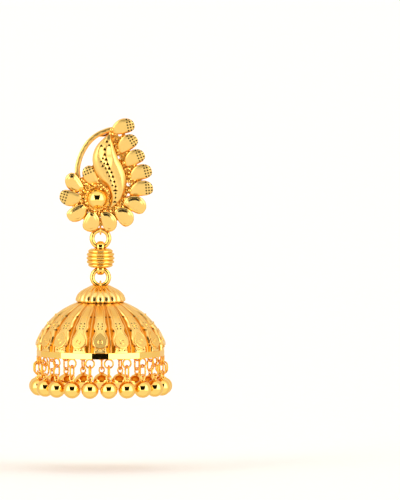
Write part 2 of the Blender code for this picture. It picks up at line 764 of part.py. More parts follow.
def drop_ball_mesh():
    """A ball with its eye."""
    middle = (BALL_EYE_DIAMETER - BALL_EYE_WIRE) / 2
    stretch = BALL_EYE_HEIGHT - BALL_EYE_DIAMETER
    eye = torus_mesh("ball_eye", middle, BALL_EYE_WIRE, "XZ", LINK_SIDES, LINK_WIRE_SIDES, stretch=stretch)
    moved(eye, z=ball_eye_top_z - middle - stretch / 2)
    ball = moved(ball_mesh("drop_ball", BALL_DIAMETER / 2), z=ball_z)
    return combined_mesh("drop_ball", ball, [eye])


def add_fringe(link_finish, ball_finish, collection):
    """The jump rings and the balls round the rim."""
    link = link_mesh()
    ball = drop_ball_mesh()
    for drop in range(DROPS):
        for name, source, finish in (("drop_link", link, link_finish), ("drop_ball", ball, ball_finish)):
            mesh = moved(at_drop(source.copy(), drop), y=drop_y)
            add_part(f"{name}_{drop + 1:02d}", mesh, finish, collection)


def build():
    """Model the whole earring."""
    clear_scene()
    earring = collection_named("jhumka_earring")
    satin = gold("satin_gold", (0.86, 0.50, 0.14), 0.32)
    cast = gold("cast_gold", (0.86, 0.48, 0.12), 0.28)
    bright = gold("bright_gold", (0.90, 0.56, 0.18), 0.12)
    mirror = gold("mirror_gold", (0.92, 0.58, 0.20), 0.06)
    add_part("stud_flower", stud_mesh(), satin, earring)
    add_part("ear_post", post_mesh(), bright, earring)
    add_ring("upper_ring", upper_ring_middle, UPPER_RING_WIRE, upper_ring_z, bright, earring)
    add_part("spacer_bead", bead_mesh(), cast, earring)
    add_ring("lower_ring", lower_ring_middle, LOWER_RING_WIRE, lower_ring_z, bright, earring)
    add_part("cap_eye_pin", pin_mesh(), bright, earring)
    add_part("bell_cap", cap_mesh(), cast, earring)
    add_part("bell_dome", dome_mesh(), cast, earring)
    add_fringe(bright, mirror, earring)


build()
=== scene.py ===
"""Looks of the jhumka earring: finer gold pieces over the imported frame, a light tent and a camera.

Lengths are in metres, +Z is up, and the front of the earring faces -Y.
"""

import logging
import math
import random
from dataclasses import dataclass
from enum import Enum
from typing import NamedTuple, Sequence

import bmesh
import bpy
from mathutils import Matrix, Vector

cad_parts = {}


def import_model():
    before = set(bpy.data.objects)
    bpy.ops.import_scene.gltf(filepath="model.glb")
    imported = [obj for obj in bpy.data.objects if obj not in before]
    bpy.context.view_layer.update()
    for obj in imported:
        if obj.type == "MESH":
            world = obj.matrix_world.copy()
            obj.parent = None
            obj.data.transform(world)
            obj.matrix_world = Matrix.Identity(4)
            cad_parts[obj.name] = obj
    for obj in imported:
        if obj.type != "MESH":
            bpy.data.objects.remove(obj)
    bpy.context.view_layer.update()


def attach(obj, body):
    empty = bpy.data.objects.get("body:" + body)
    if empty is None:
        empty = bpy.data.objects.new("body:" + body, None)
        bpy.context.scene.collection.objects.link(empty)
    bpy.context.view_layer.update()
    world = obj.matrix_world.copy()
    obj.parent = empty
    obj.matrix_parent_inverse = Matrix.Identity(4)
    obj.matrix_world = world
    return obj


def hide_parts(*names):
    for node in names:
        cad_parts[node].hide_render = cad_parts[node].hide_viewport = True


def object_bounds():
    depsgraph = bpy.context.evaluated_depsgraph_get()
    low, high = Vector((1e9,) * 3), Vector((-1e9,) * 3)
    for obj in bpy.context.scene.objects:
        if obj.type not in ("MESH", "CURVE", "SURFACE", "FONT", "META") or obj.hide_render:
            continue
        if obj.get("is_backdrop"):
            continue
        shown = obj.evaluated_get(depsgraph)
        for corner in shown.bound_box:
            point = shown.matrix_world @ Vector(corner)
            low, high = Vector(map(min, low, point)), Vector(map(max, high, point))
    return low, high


MM = 0.001
Point = Sequence[float]
Pair = tuple[float, float]
Shape = bmesh.types.BMesh
Vertex = bmesh.types.BMVert
Tree = bpy.types.NodeTree
Socket = bpy.types.NodeSocket

QUARTER_X = Matrix.Rotation(math.pi / 2, 4, "X")
QUARTER_Z = Matrix.Rotation(math.pi / 2, 4, "Z")

PAINTED_HOLLOW_SHADE = "2A1806"  # near-black painted into punched dots, leaf cuts and the dome's hollows: painted shade deep inside them
HOLLOW_ROUGHNESS = 0.45
GROOVE_ROUGHNESS = 0.42  # no tool reaches into a groove to polish it
CLOUD_GRAINS = 8  # a patch of one tone is this many grains across
PUNCH_PITCH_ALONG = 0.44 * MM
PUNCH_PITCH_ACROSS = 0.46 * MM
PUNCH_SHIFT = 20  # whole pitches that keep lengths across a petal above zero
PUNCH_RADIUS = 0.14 * MM
PUNCH_FLOOR = 0.7  # where a dot's floor ends, and where its wall does, as shares of its radius
PUNCH_WALL = 1.2
PUNCH_ROWS = 3

log = logging.getLogger("jhumka")


class Body(Enum):
    """The bodies of the frame that a piece can ride on."""

    STUD = "stud"
    UPPER_RING = "upper_ring"
    BEAD = "bead"
    LOWER_RING = "lower_ring"
    BELL = "bell"


class Slot(Enum):
    """The record's material slots."""

    SATIN_CAST = "satin_cast_gold"
    POLISHED = "polished_gold"
    RIDGED = "ridged_gold"
    STAMPED = "stamped_gold"
    MIRROR = "mirror_gold"


def linear(hex_colour: str) -> tuple[float, float, float, float]:
    """Turn an sRGB hex colour into a linear one.

    Args:
        hex_colour: six hex digits.

    Returns:
        Linear red, green and blue, and an alpha of 1.
    """
    shares = [int(hex_colour[start : start + 2], 16) / 255 for start in (0, 2, 4)]
    light = [share / 12.92 if share <= 0.04045 else ((share + 0.055) / 1.055) ** 2.4 for share in shares]
    return (*light, 1.0)


def add_node(tree: Tree, kind: str, settings: dict | None = None, **links) -> bpy.types.Node:
    """Add a node with its settings and links.

    Args:
        tree: the node tree.
        kind: the node's type name, without its ShaderNode prefix.
        settings: properties of the node, and values of its sockets under their names or numbers.
        links: sockets to link from, under the input's name with _ for a space, or in_0, in_1, ...

    Returns:
        The node.
    """
    made = tree.nodes.new("ShaderNode" + kind)
    for key, value in (settings or {}).items():
        if isinstance(key, str) and hasattr(made, key):
            setattr(made, key, value)
        else:
            made.inputs[key].default_value = value
    for key, source in links.items():
        place = int(key[3:]) if key.startswith("in_") else key.replace("_", " ")
        tree.links.new(source, made.inputs[place])
    return made


@dataclass(frozen=True)
class GoldFinish:
    """22 carat gold plate over cast or spun brass, as one way of finishing leaves it.

    Gold reflects red fully, green by two thirds and blue hardly at all, so one bounce looks straw
    yellow and a second one, in a groove, looks orange. The deep colour paints that second bounce
    into the grooves as a painted reflection. The finishes differ in how the surface was
    left: grain is the size of its pits, and relief their depth.
    """

    name: str
    slot: Slot
    colour: str
    shade: str
    roughness: float
    roughness_spread: float
    grain: float
    relief: float
    punched: bool = False
    deep: str = "EE9420"

    def material(self) -> bpy.types.Material:
        """Make the material, or find it if it is made.

        Returns:
            The material.
        """
        known = bpy.data.materials.get(self.name)
        if known:
            return known
        made = bpy.data.materials.new(self.name)
        made.use_nodes = True
        tree = made.node_tree
        shader = tree.nodes["Principled BSDF"]
        shader.inputs["Metallic"].default_value = 1.0
        place = add_node(tree, "TexCoord").outputs["Object"]
        fine = {"Scale": 1 / self.grain, "Detail": 3.0, "Roughness": 0.6}
        grain = add_node(tree, "TexNoise", fine, Vector=place).outputs["Fac"]
        broad = {"Scale": 1 / (CLOUD_GRAINS * self.grain), "Detail": 2.0}
        cloud = add_node(tree, "TexNoise", broad, Vector=place).outputs["Fac"]
        tones = {"data_type": "RGBA", 6: linear(self.colour), 7: linear(self.shade)}
        gold = add_node(tree, "Mix", tones, in_0=cloud).outputs[2]
        spread = {3: self.roughness, 4: self.roughness + self.roughness_spread}
        rough = add_node(tree, "MapRange", spread, in_0=grain).outputs[0]
        hollow = add_node(tree, "Attribute", {"attribute_name": "recess"}).outputs["Fac"]
        groove = add_node(tree, "Attribute", {"attribute_name": "groove"}).outputs["Fac"]
        if self.punched:
            hollow = self.punches(tree, groove)
        # Painted reflection: grooves get the orange of a second bounce mixed into the base colour
        painted_bounce_tones = {"data_type": "RGBA", 7: linear(self.deep)}
        gold = add_node(tree, "Mix", painted_bounce_tones, in_0=groove, in_6=gold).outputs[2]
        # Painted shade: punched dots, cuts and hollows get a near-black mixed into the base colour
        blackened = {"data_type": "RGBA", 7: linear(PAINTED_HOLLOW_SHADE)}
        colour = add_node(tree, "Mix", blackened, in_0=hollow, in_6=gold).outputs[2]
        rough = add_node(tree, "Mix", {3: GROOVE_ROUGHNESS}, in_0=groove, in_2=rough).outputs[0]
        dull = add_node(tree, "Mix", {3: HOLLOW_ROUGHNESS}, in_0=hollow, in_2=rough).outputs[0]
        height = add_node(tree, "Math", {"operation": "SUBTRACT"}, in_0=grain, in_1=hollow)
        bump = add_node(tree, "Bump", {"Strength": 1.0, "Distance": self.relief}, Height=height.outputs[0])
        tree.links.new(colour, shader.inputs["Base Color"])
        tree.links.new(dull, shader.inputs["Roughness"])
        tree.links.new(bump.outputs[0], shader.inputs["Normal"])
        return made

    @staticmethod
    def punches(tree: Tree, groove: Socket) -> Socket:
        """Rows of punched dots near a petal's head, from its own lengths along and across, each darkened
        with painted shade.

        Args:
            tree: the node tree.
            groove: from 0 on the petal's face to 1 down its wall, where no dot is punched.

        Returns:
            How deep in a dot a point is, from 0 to 1.
        """
        place = add_node(tree, "Attribute", {"attribute_name": "petal"}).outputs["Vector"]
        cell = (PUNCH_PITCH_ALONG, PUNCH_PITCH_ACROSS, 1.0)
        counted = add_node(tree, "VectorMath", {"operation": "DIVIDE", 1: cell}, in_0=place).outputs[0]
        share = add_node(tree, "VectorMath", {"operation": "FRACTION"}, in_0=counted).outputs[0]
        middle = add_node(tree, "VectorMath", {"operation": "SUBTRACT", 1: (0.5, 0.5, 0.0)}, in_0=share)
        real = add_node(tree, "VectorMath", {"operation": "MULTIPLY", 1: cell}, in_0=middle.outputs[0])
        away = add_node(tree, "VectorMath", {"operation": "LENGTH"}, in_0=real.outputs[0]).outputs["Value"]
        edge = {1: PUNCH_RADIUS * PUNCH_FLOOR, 2: PUNCH_RADIUS * PUNCH_WALL, 3: 1.0, 4: 0.0}
        dot = add_node(tree, "MapRange", edge, in_0=away).outputs[0]
        along = add_node(tree, "SeparateXYZ", {}, in_0=place).outputs[0]
        near = {"operation": "LESS_THAN", 1: PUNCH_PITCH_ALONG * PUNCH_ROWS}
        rows = add_node(tree, "Math", near, in_0=along).outputs[0]
        within = add_node(tree, "Math", {"operation": "MULTIPLY"}, in_0=dot, in_1=rows).outputs[0]
        clamped = {"operation": "SUBTRACT", "use_clamp": True}
        return add_node(tree, "Math", clamped, in_0=within, in_1=groove).outputs[0]


# Cast and tumbled, so it glows evenly instead of mirroring
SATIN = GoldFinish("tumbled_cast_gold", Slot.SATIN_CAST, "FBD078", "F7C86C", 0.30, 0.08, 0.10 * MM, 3e-6)
# The same with rows of dots punched in and darkened with painted shade, so a petal's head looks stippled
PUNCHED = GoldFinish(
    "punched_cast_gold", Slot.SATIN_CAST, "FBD078", "F7C86C", 0.28, 0.08, 0.10 * MM, 3e-6, punched=True
)
# Cast and wiped with a round-nosed tool, so a petal's face mirrors in one broad streak
SPOONED = GoldFinish("spooned_gold", Slot.SATIN_CAST, "FBD078", "F7C86C", 0.17, 0.06, 0.15 * MM, 2e-6)
# Left as cast where it sits deep, seen through the openings, so rougher; its darker, more orange tone is
# painted shade and painted reflection from the gold around it
CAST_IN_PAINTED_SHADE = GoldFinish("cast_gold_painted_shade", Slot.SATIN_CAST, "FBC45C", "F6B246", 0.36, 0.12, 0.12 * MM, 5e-6)
# Drawn and tumbled wire and turned work, with a soft mirror
POLISHED = GoldFinish("drawn_wire_gold", Slot.POLISHED, "FBCE6C", "F8C865", 0.10, 0.05, 0.2 * MM, 1e-6)
RIDGED = GoldFinish("turned_gold", Slot.RIDGED, "FBCE6C", "F6C15C", 0.12, 0.06, 0.15 * MM, 2e-6)
# Fine wire closed by hand and barely tumbled, so the fringe is a deeper gold than the balls
LINKED = GoldFinish("closed_link_gold", Slot.POLISHED, "F9BA50", "F2A63A", 0.16, 0.08, 0.15 * MM, 1e-6)
# Pressed in a die and flashed, so its flats are satin and its edges bright; its grooves get a darker orange
# as painted reflection
STAMPED = GoldFinish(
    "pressed_gold", Slot.STAMPED, "FDD47E", "F8C96E", 0.25, 0.08, 0.12 * MM, 2e-6, deep="D87E16"
)
# Wiped with a hard tool, so the small flats mirror one part of the room each
WIPED = GoldFinish("wiped_gold", Slot.STAMPED, "FBCE74", "F6C468", 0.13, 0.05, 0.2 * MM, 1e-6)
# Pressed over a fluted form and burnished, so each lobe carries a bright line
FLUTED = GoldFinish("fluted_gold", Slot.STAMPED, "FDD684", "FACD74", 0.16, 0.05, 0.2 * MM, 1e-6)
# Burnished balls and the cut facets of the band
MIRROR = GoldFinish("burnished_gold", Slot.MIRROR, "FCCF6E", "FACB69", 0.035, 0.02, 0.3 * MM, 5e-7)


class Spot(NamedTuple):
    """A point of a surface: how far it is into a punched hollow and into a groove, from 0 to 1."""

    place: Vector
    hollow: float = 0.0
    groove: float = 0.0


def place_ring(shape: Shape, ring: list[Vertex], spots: Sequence[Spot]) -> None:
    """Move a ring's vertices to spots, and store what the finish reads there.

    Args:
        shape: the shape that holds the ring.
        ring: its vertices in order.
        spots: where they go.
    """
    hollow = shape.verts.layers.float["recess"]
    groove = shape.verts.layers.float["groove"]
    for vertex, spot in zip(ring, spots):
        vertex.co = spot.place
        vertex[hollow] = spot.hollow
        vertex[groove] = spot.groove


def first_ring(shape: Shape, spots: Sequence[Spot]) -> list[Vertex]:
    """Start a closed ring of vertices.

    Args:
        shape: the shape that gets it.
        spots: where its vertices go.

    Returns:
        The ring's vertices in order.
    """
    for name in ("recess", "groove"):
        if name not in shape.verts.layers.float:
            shape.verts.layers.float.new(name)
    ring = bmesh.ops.create_circle(shape, cap_ends=False, segments=len(spots), radius=MM)["verts"]
    place_ring(shape, ring, spots)
    return ring


def ring_edges(shape: Shape, ring: list[Vertex]) -> list[bmesh.types.BMEdge]:
    """The edges round a closed ring of vertices."""
    return [shape.edges.get((ring[index - 1], ring[index])) for index in range(len(ring))]


def grow_ring(shape: Shape, ring: list[Vertex], spots: Sequence[Spot]) -> list[Vertex]:
    """Extrude a closed ring and move what it grew.

    Args:
        shape: the shape that holds the ring.
        ring: its vertices in order.
        spots: where the new vertices go.

    Returns:
        The new ring's vertices in the same order.
    """
    made = bmesh.ops.extrude_edge_only(shape, edges=ring_edges(shape, ring))["geom"]
    fresh = {item for item in made if isinstance(item, Vertex)}
    grown = []
    for vertex in ring:
        ends = (edge.other_vert(vertex) for edge in vertex.link_edges)
        grown.append(next(end for end in ends if end in fresh))
    place_ring(shape, grown, spots)
    return grown


def lofted(rings: Sequence[Sequence[Spot]], closed: bool = False) -> Shape:
    """Grow a shape through rings of spots.

    Args:
        rings: rings of as many spots each.
        closed: whether the last ring joins the first one. If not, both ends are filled.

    Returns:
        The shape.
    """
    shape = bmesh.new()
    start = first_ring(shape, rings[0])
    ring = start
    for spots in rings[1:]:
        ring = grow_ring(shape, ring, spots)
    if closed:
        bmesh.ops.bridge_loops(shape, edges=ring_edges(shape, ring) + ring_edges(shape, start))
    else:
        bmesh.ops.contextual_create(shape, geom=start)
        bmesh.ops.contextual_create(shape, geom=ring)
    bmesh.ops.remove_doubles(shape, verts=shape.verts[:], dist=1e-8)
    return shape


def spin_round(shape: Shape, axis: Point, steps: int) -> None:
    """Spin all that a shape holds once round an axis through the origin.

    Args:
        shape: the shape.
        axis: the axis.
        steps: how many steps round.
    """
    bmesh.ops.spin(
        shape,
        geom=shape.verts[:] + shape.edges[:],
        cent=(0.0, 0.0, 0.0),
        axis=axis,
        angle=2 * math.pi,
        steps=steps,
        use_merge=True,
    )


def turned(profile: Sequence[Pair], steps: int) -> Shape:
    """Spin a closed or axis-to-axis profile round the Z axis.

    Args:
        profile: (radius, height) points that run down the outer side.
        steps: how many steps round.

    Returns:
        The turned shape.
    """
    shape = bmesh.new()
    points = [shape.verts.new((radius, 0.0, height)) for radius, height in profile]
    for upper, lower in zip(points, points[1:]):
        shape.edges.new((upper, lower))
    if profile[0][0] > 0.0:
        shape.edges.new((points[-1], points[0]))
    spin_round(shape, (0.0, 0.0, 1.0), steps)
    bmesh.ops.remove_doubles(shape, verts=shape.verts[:], dist=1e-8)
    return shape


def wire_ring(
    middle: float, wire: float, steps: int = 64, sides: int = 20, width: float = 0.0, stretch: float = 0.0
) -> Shape:
    """A closed ring of wire in the XZ plane round the origin.

    Args:
        middle: radius of the middle of the wire.
        wire: the wire's thickness.
        steps: steps round the ring.
        sides: steps round the wire.
        width: the wire's size along the ring's axis, if that isn't its thickness.
        stretch: how far the upper and lower halves are parted.

    Returns:
        The ring.
    """
    shape = bmesh.new()
    section = bmesh.ops.create_circle(shape, cap_ends=False, segments=sides, radius=wire / 2)["verts"]
    bmesh.ops.scale(shape, verts=section, vec=(1.0, (width or wire) / wire, 1.0))
    bmesh.ops.translate(shape, verts=section, vec=(middle, 0.0, 0.0))
    spin_round(shape, (0.0, 1.0, 0.0), steps)
    for vertex in shape.verts:
        vertex.co.z += stretch / 2 * max(-1.0, min(1.0, vertex.co.z / (0.1 * middle)))
    return shape


def ball(radius: float, around: int = 40, rows: int = 24) -> Shape:
    """A ball round the origin.

    Args:
        radius: its radius.
        around: steps round its axis.
        rows: steps from pole to pole.

    Returns:
        The ball.
    """
    shape = bmesh.new()
    bmesh.ops.create_uvsphere(shape, u_segments=around, v_segments=rows, radius=radius)
    return shape


def granule(radius: float, finer: int = 2) -> Shape:
    """A small soldered grain round the origin.

    Args:
        radius: its radius.
        finer: how often its faces are divided.

    Returns:
        The grain.
    """
    shape = bmesh.new()
    bmesh.ops.create_icosphere(shape, subdivisions=finer, radius=radius)
    return shape


def moved(shape: Shape, place: Point, turn: Matrix | None = None) -> Shape:
    """Turn a shape about the origin and then move it.

    Args:
        shape: the shape.
        place: how far it moves.
        turn: how it turns first, if it does.

    Returns:
        The same shape.
    """
    bmesh.ops.transform(shape, matrix=Matrix.Translation(place) @ (turn or Matrix()), verts=shape.verts)
    return shape


def joined(shapes: Sequence[Shape]) -> Shape:
    """Gather shapes into one, and free them.

    Args:
        shapes: the shapes, each closed by itself.

    Returns:
        The one shape.
    """
    whole = bmesh.new()
    for shape in shapes:
        scratch = bpy.data.meshes.new("scratch")
        shape.to_mesh(scratch)
        shape.free()
        whole.from_mesh(scratch)
        bpy.data.meshes.remove(scratch)
    return whole


def spline(numbers: Sequence[float], t: float) -> float:
    """A smooth curve through four even numbers, between the second and the third.

    Args:
        numbers: the four numbers.
        t: share of the way from the second to the third.

    Returns:
        The curve's number there.
    """
    a, b, c, d = numbers
    square = (2 * a - 5 * b + 4 * c - d) * t**2
    cube = (3 * b - a - 3 * c + d) * t**3
    return 0.5 * (2 * b + (c - a) * t + square + cube)


def smooth_between(rows: Sequence[Sequence[float]], steps: int) -> list[tuple[float, ...]]:
    """Draw smooth curves through rows of numbers.

    Args:
        rows: the rows, with as many numbers each.
        steps: how many steps between two rows.

    Returns:
        The rows with the steps between them.
    """
    drawn = []
    last = len(rows) - 1
    for index in range(last):
        before, start = rows[max(index - 1, 0)], rows[index]
        end, after = rows[index + 1], rows[min(index + 2, last)]
        for step in range(steps):
            share = step / steps
            drawn.append(tuple(spline(numbers, share) for numbers in zip(before, start, end, after)))
    drawn.append(tuple(rows[last]))
    return drawn


def ease(share: float) -> float:
    """A smooth step from 0 to 1."""
    inside = min(max(share, 0.0), 1.0)
    return inside * inside * (3 - 2 * inside)


def polar(radius: float, angle: float, height: float) -> Vector:
    """A point at a radius and an angle round the Z axis."""
    return Vector((radius * math.cos(angle), radius * math.sin(angle), height))


def as_object(shape: Shape, name: str) -> bpy.types.Object:
    """Make a shape an object of the scene.

    Args:
        shape: the shape, which is freed.
        name: the object's name.

    Returns:
        The object.
    """
    mesh = bpy.data.meshes.new(name)
    shape.to_mesh(mesh)
    shape.free()
    made = bpy.data.objects.new(name, mesh)
    bpy.context.scene.collection.objects.link(made)
    return made


def put_in_scene(
    shape: Shape,
    name: str,
    finish: GoldFinish,
    body: Body,
    replaces: Sequence[str] = (),
    crease: float = 40.0,
) -> None:
    """Make a shape an object with a finish that rides on a body.

    Args:
        shape: the shape, which is freed.
        name: the piece's name.
        finish: its finish.
        body: the body that it rides on.
        replaces: the CAD nodes that it stands for.
        crease: edges sharper than this many degrees stay sharp.
    """
    bmesh.ops.recalc_face_normals(shape, faces=shape.faces[:])
    piece = as_object(shape, name)
    mesh = piece.data
    mesh.shade_smooth()
    mesh.set_sharp_from_angle(angle=math.radians(crease))
    mesh.materials.append(finish.material())
    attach(piece, body.value)
    if replaces:
        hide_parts(*replaces)
    log.info("%s: %d faces in %s on %s", name, len(mesh.polygons), finish.name, body.value)


@dataclass(frozen=True)
class Petal:
    """One petal: its tail, its head and its width as shares of the stud's reach and the usual width."""

    tail_x: float
    tail_z: float
    head_x: float
    head_z: float
    width: float
    punched: bool = False

    @property
    def tail(self) -> Vector:
        """The tail."""
        return Vector((self.tail_x, self.tail_z))

    @property
    def head(self) -> Vector:
        """The head."""
        return Vector((self.head_x, self.head_z))


@dataclass(frozen=True)
class Notch:
    """A cut in the leaf, where it is and half its size, in millimetres."""

    x: float
    z: float
    half_width: float = 0.21
    half_height: float = 0.19


@dataclass
class StudFlower:
    """The flower that sits on the ear: a pierced backing with petals, a leaf, wires and a ball."""

    reach: float = 10.0 * MM
    petal_width: float = 2.6 * MM
    petal_thickness: float = 0.85 * MM
    petal_edge: float = 0.42 * MM
    petal_rise: float = 0.30 * MM
    # How high a petal's face swells, and over what share of its half width
    plain_face: Pair = (0.14 * MM, 0.62)
    punched_face: Pair = (0.05 * MM, 0.45)
    edge_steps: int = 6
    face_steps: int = 8
    petal_squareness: float = 0.82
    petal_taper: float = 0.80
    petal_swell: float = 0.05
    petal_hook: float = 1.8
    petal_tilt: float = math.radians(13.0)
    backing_thickness: float = 0.7 * MM
    solder_depth: float = 0.12 * MM
    leaf_height: float = 1.0 * MM
    leaf_tilt: float = math.radians(6.0)
    leaf_rim: float = 0.4
    leaf_rounding: float = 0.22
    leaf_columns: int = 60
    # In millimetres: from which height and over what height the scoop widens, and then narrows
    scoop_widens: Pair = (0.2, 2.2)
    scoop_narrows: Pair = (5.2, 1.2)
    # The scoop in the leaf's lower part, and how much more it is in the upper part
    scoop_spread: Pair = (0.32, 0.42)
    scoop_depth: Pair = (0.14, 0.30)
    scoop_shift: float = 0.12
    cut_depth: float = 0.22 * MM
    # Where a cut's floor ends, and how wide its wall is, as shares of its half size
    cut_floor: float = 0.75
    cut_wall: float = 0.4
    ball_radius: float = 1.6 * MM
    ball_at: tuple[float, float] = (-0.053, -0.450)
    ball_proud: float = 0.75
    collar_wire: float = 0.45 * MM
    collar_grains: int = 22
    collar_grain: float = 0.2 * MM
    collar_spread: float = 0.18 * MM
    collar_rise: float = 0.12 * MM
    tail_grain: float = 0.30 * MM
    tail_grain_height: float = 0.9
    leaf_grain: float = 0.19 * MM
    leaf_grain_height: float = 0.55 * MM
    leaf_grain_gap: float = 0.022
    scroll_wire: float = 0.17 * MM
    scroll_height: float = 0.3 * MM
    scroll_gap: float = 0.5
    # Share of the way along two petals, and radius in millimetres of the wire ring between them
    scrolls: Sequence[Pair] = ((0.05, 0.30), (0.42, 0.24))
    arc_width: float = 0.82 * MM
    arc_thickness: float = 0.55 * MM
    stay_wire: float = 0.35 * MM
    wire_squareness: float = 0.6
    wire_sides: int = 12
    hammer_roll: float = 0.10
    hammer_pace: float = 1.1
    piercing_radius: float = 0.32 * MM
    piercing_rim: float = 0.015
    eyelet_middle: float = 0.67 * MM
    eyelet_wire: float = 0.3 * MM
    eyelet_z: float = -9.60 * MM
    hang_y: float = 0.15 * MM
    seed: int = 7
    crumb_tries: int = 1300
    # Where the granulation may lie, as shares of the reach, and its radius and height in millimetres
    crumb_x: Pair = (-0.5, 0.68)
    crumb_z: Pair = (-0.9, 0.68)
    crumb_radius: Pair = (0.14, 0.28)
    crumb_height: Pair = (-0.05, 0.35)
    petals: Sequence[Petal] = (
        Petal(0.178, 0.655, 0.545, 0.728, 0.98, True),
        Petal(0.268, 0.325, 0.583, 0.516, 1.00, True),
        Petal(0.372, 0.125, 0.704, 0.260, 0.97, True),
        Petal(0.462, -0.092, 0.822, 0.000, 1.00, True),
        Petal(0.464, -0.316, 0.842, -0.290, 1.00, True),
        Petal(0.395, -0.455, 0.712, -0.645, 1.08),
        Petal(0.283, -0.592, 0.468, -0.882, 1.07),
        Petal(0.070, -0.645, 0.173, -0.979, 0.98),
        Petal(-0.082, -0.672, -0.222, -0.970, 1.06),
        Petal(-0.220, -0.595, -0.528, -0.755, 1.00),
        Petal(-0.300, -0.492, -0.648, -0.380, 1.02, True),
        Petal(-0.318, -0.350, -0.508, -0.055, 0.98),
        Petal(-0.085, -0.240, -0.216, 0.070, 0.92, True),
    )
    # Left edge, right edge and rise of the leaf, from its top tip down, as shares of the reach
    leaf: Sequence[tuple[float, ...]] = (
        (0.135, 0.585, 0.160, 0.575, 0.35),
        (-0.004, 0.461, 0.200, 0.430, 0.75),
        (-0.091, 0.339, 0.235, 0.320, 0.95),
        (-0.126, 0.183, 0.290, 0.180, 1.00),
        (-0.091, 0.010, 0.351, 0.062, 1.00),
        (0.004, -0.146, 0.398, -0.077, 1.00),
        (0.100, -0.250, 0.403, -0.233, 1.00),
        (0.160, -0.389, 0.369, -0.389, 0.90),
        (0.169, -0.511, 0.299, -0.502, 0.70),
        (0.150, -0.595, 0.170, -0.597, 0.35),
    )
    # The triangular cuts, first those along the leaf's valley and then the finer row on its left
    valley_cuts: int = 14
    notches: Sequence[Notch] = (
        Notch(1.05, 4.72, 0.20, 0.16),
        Notch(0.71, 3.47),
        Notch(0.71, 2.62),
        Notch(0.91, 1.85),
        Notch(1.14, 1.11),
        Notch(1.41, 0.41),
        Notch(1.77, -0.23, 0.18, 0.15),
        Notch(1.99, -0.91, 0.18, 0.17),
        Notch(2.22, -1.72, 0.16, 0.15),
        Notch(2.42, -2.50, 0.15, 0.14),
        Notch(2.38, -3.16, 0.38, 0.12),
        Notch(2.43, -3.62, 0.14, 0.12),
        Notch(2.42, -4.32, 0.14, 0.13),
        Notch(2.30, -5.00, 0.26, 0.11),
        Notch(0.12, 4.05, 0.22, 0.14),
        Notch(1.40, 4.12, 0.16, 0.16),
        Notch(0.40, 2.04, 0.13, 0.17),
        Notch(0.09, 1.57, 0.11, 0.14),
        Notch(0.60, 1.22, 0.14, 0.15),
        Notch(0.36, 0.82, 0.15, 0.16),
        Notch(0.83, 0.45, 0.17, 0.14),
        Notch(1.10, -0.19, 0.18, 0.12),
        Notch(1.41, -0.81, 0.15, 0.12),
        Notch(1.64, -1.53, 0.14, 0.13),
        Notch(1.93, -2.30, 0.14, 0.12),
    )
    arc: Sequence[Pair] = (
        (0.200, 0.650), (0.131, 0.643), (-0.039, 0.574), (-0.178, 0.461),
        (-0.282, 0.305), (-0.343, 0.149), (-0.369, -0.008), (-0.345, -0.190),
    )
    stay: Sequence[Pair] = ((-0.025, 0.555), (0.060, 0.553), (0.140, 0.590))
    backing: Sequence[Pair] = (
        (0.150, 0.640), (0.360, 0.660), (0.430, 0.400), (0.540, 0.160), (0.640, -0.070),
        (0.650, -0.310), (0.550, -0.560), (0.360, -0.750), (0.130, -0.860), (0.000, -0.890),
        (-0.160, -0.860), (-0.390, -0.680), (-0.490, -0.420), (-0.410, -0.190),
        (-0.140, -0.020), (-0.030, 0.150), (0.030, 0.350), (0.130, 0.540),
    )
    piercings: Sequence[Pair] = (
        (0.308, 0.574), (0.290, 0.200), (0.447, -0.224), (0.440, -0.400), (0.273, -0.719),
        (0.022, -0.762), (-0.175, -0.690), (-0.330, -0.370), (-0.080, -0.140),
    )

    @property
    def foot(self) -> float:
        """Depth at which cast pieces start, sunk into the backing."""
        return self.backing_thickness - self.solder_depth

    def build(self) -> None:
        """Make every piece of the stud."""
        put_in_scene(self.backing_shape(), "stud_backing", CAST_IN_PAINTED_SHADE, Body.STUD, ["stud_flower"])
        plain = [self.petal_shape(petal) for petal in self.petals if not petal.punched]
        punched = [self.petal_shape(petal) for petal in self.petals if petal.punched]
        put_in_scene(joined(plain), "plain_petals", SPOONED, Body.STUD, crease=60.0)
        put_in_scene(joined(punched), "punched_petals", PUNCHED, Body.STUD, crease=60.0)
        put_in_scene(self.granules(), "stud_granules", POLISHED, Body.STUD)
        put_in_scene(self.scrollwork(), "stud_scrollwork", CAST_IN_PAINTED_SHADE, Body.STUD)
        put_in_scene(self.crumbs(), "stud_granulation", POLISHED, Body.STUD)
        put_in_scene(self.leaf_shape(), "stamped_leaf", SATIN, Body.STUD, crease=60.0)
        put_in_scene(self.strip(self.arc, self.arc_width, self.arc_thickness), "arc_wire", SATIN, Body.STUD)
        put_in_scene(self.strip(self.stay, self.stay_wire, self.stay_wire), "stay_wire", POLISHED, Body.STUD)
        put_in_scene(self.centre_ball(), "centre_ball", MIRROR, Body.STUD)
        put_in_scene(self.collar(), "ball_collar", POLISHED, Body.STUD)
        put_in_scene(self.eyelet(), "stud_eyelet", POLISHED, Body.STUD)

    def at(self, x: float, z: float, depth: float) -> Vector:
        """A point from shares of the reach, this far in front of the back face."""
        return Vector((x * self.reach, -depth, z * self.reach))

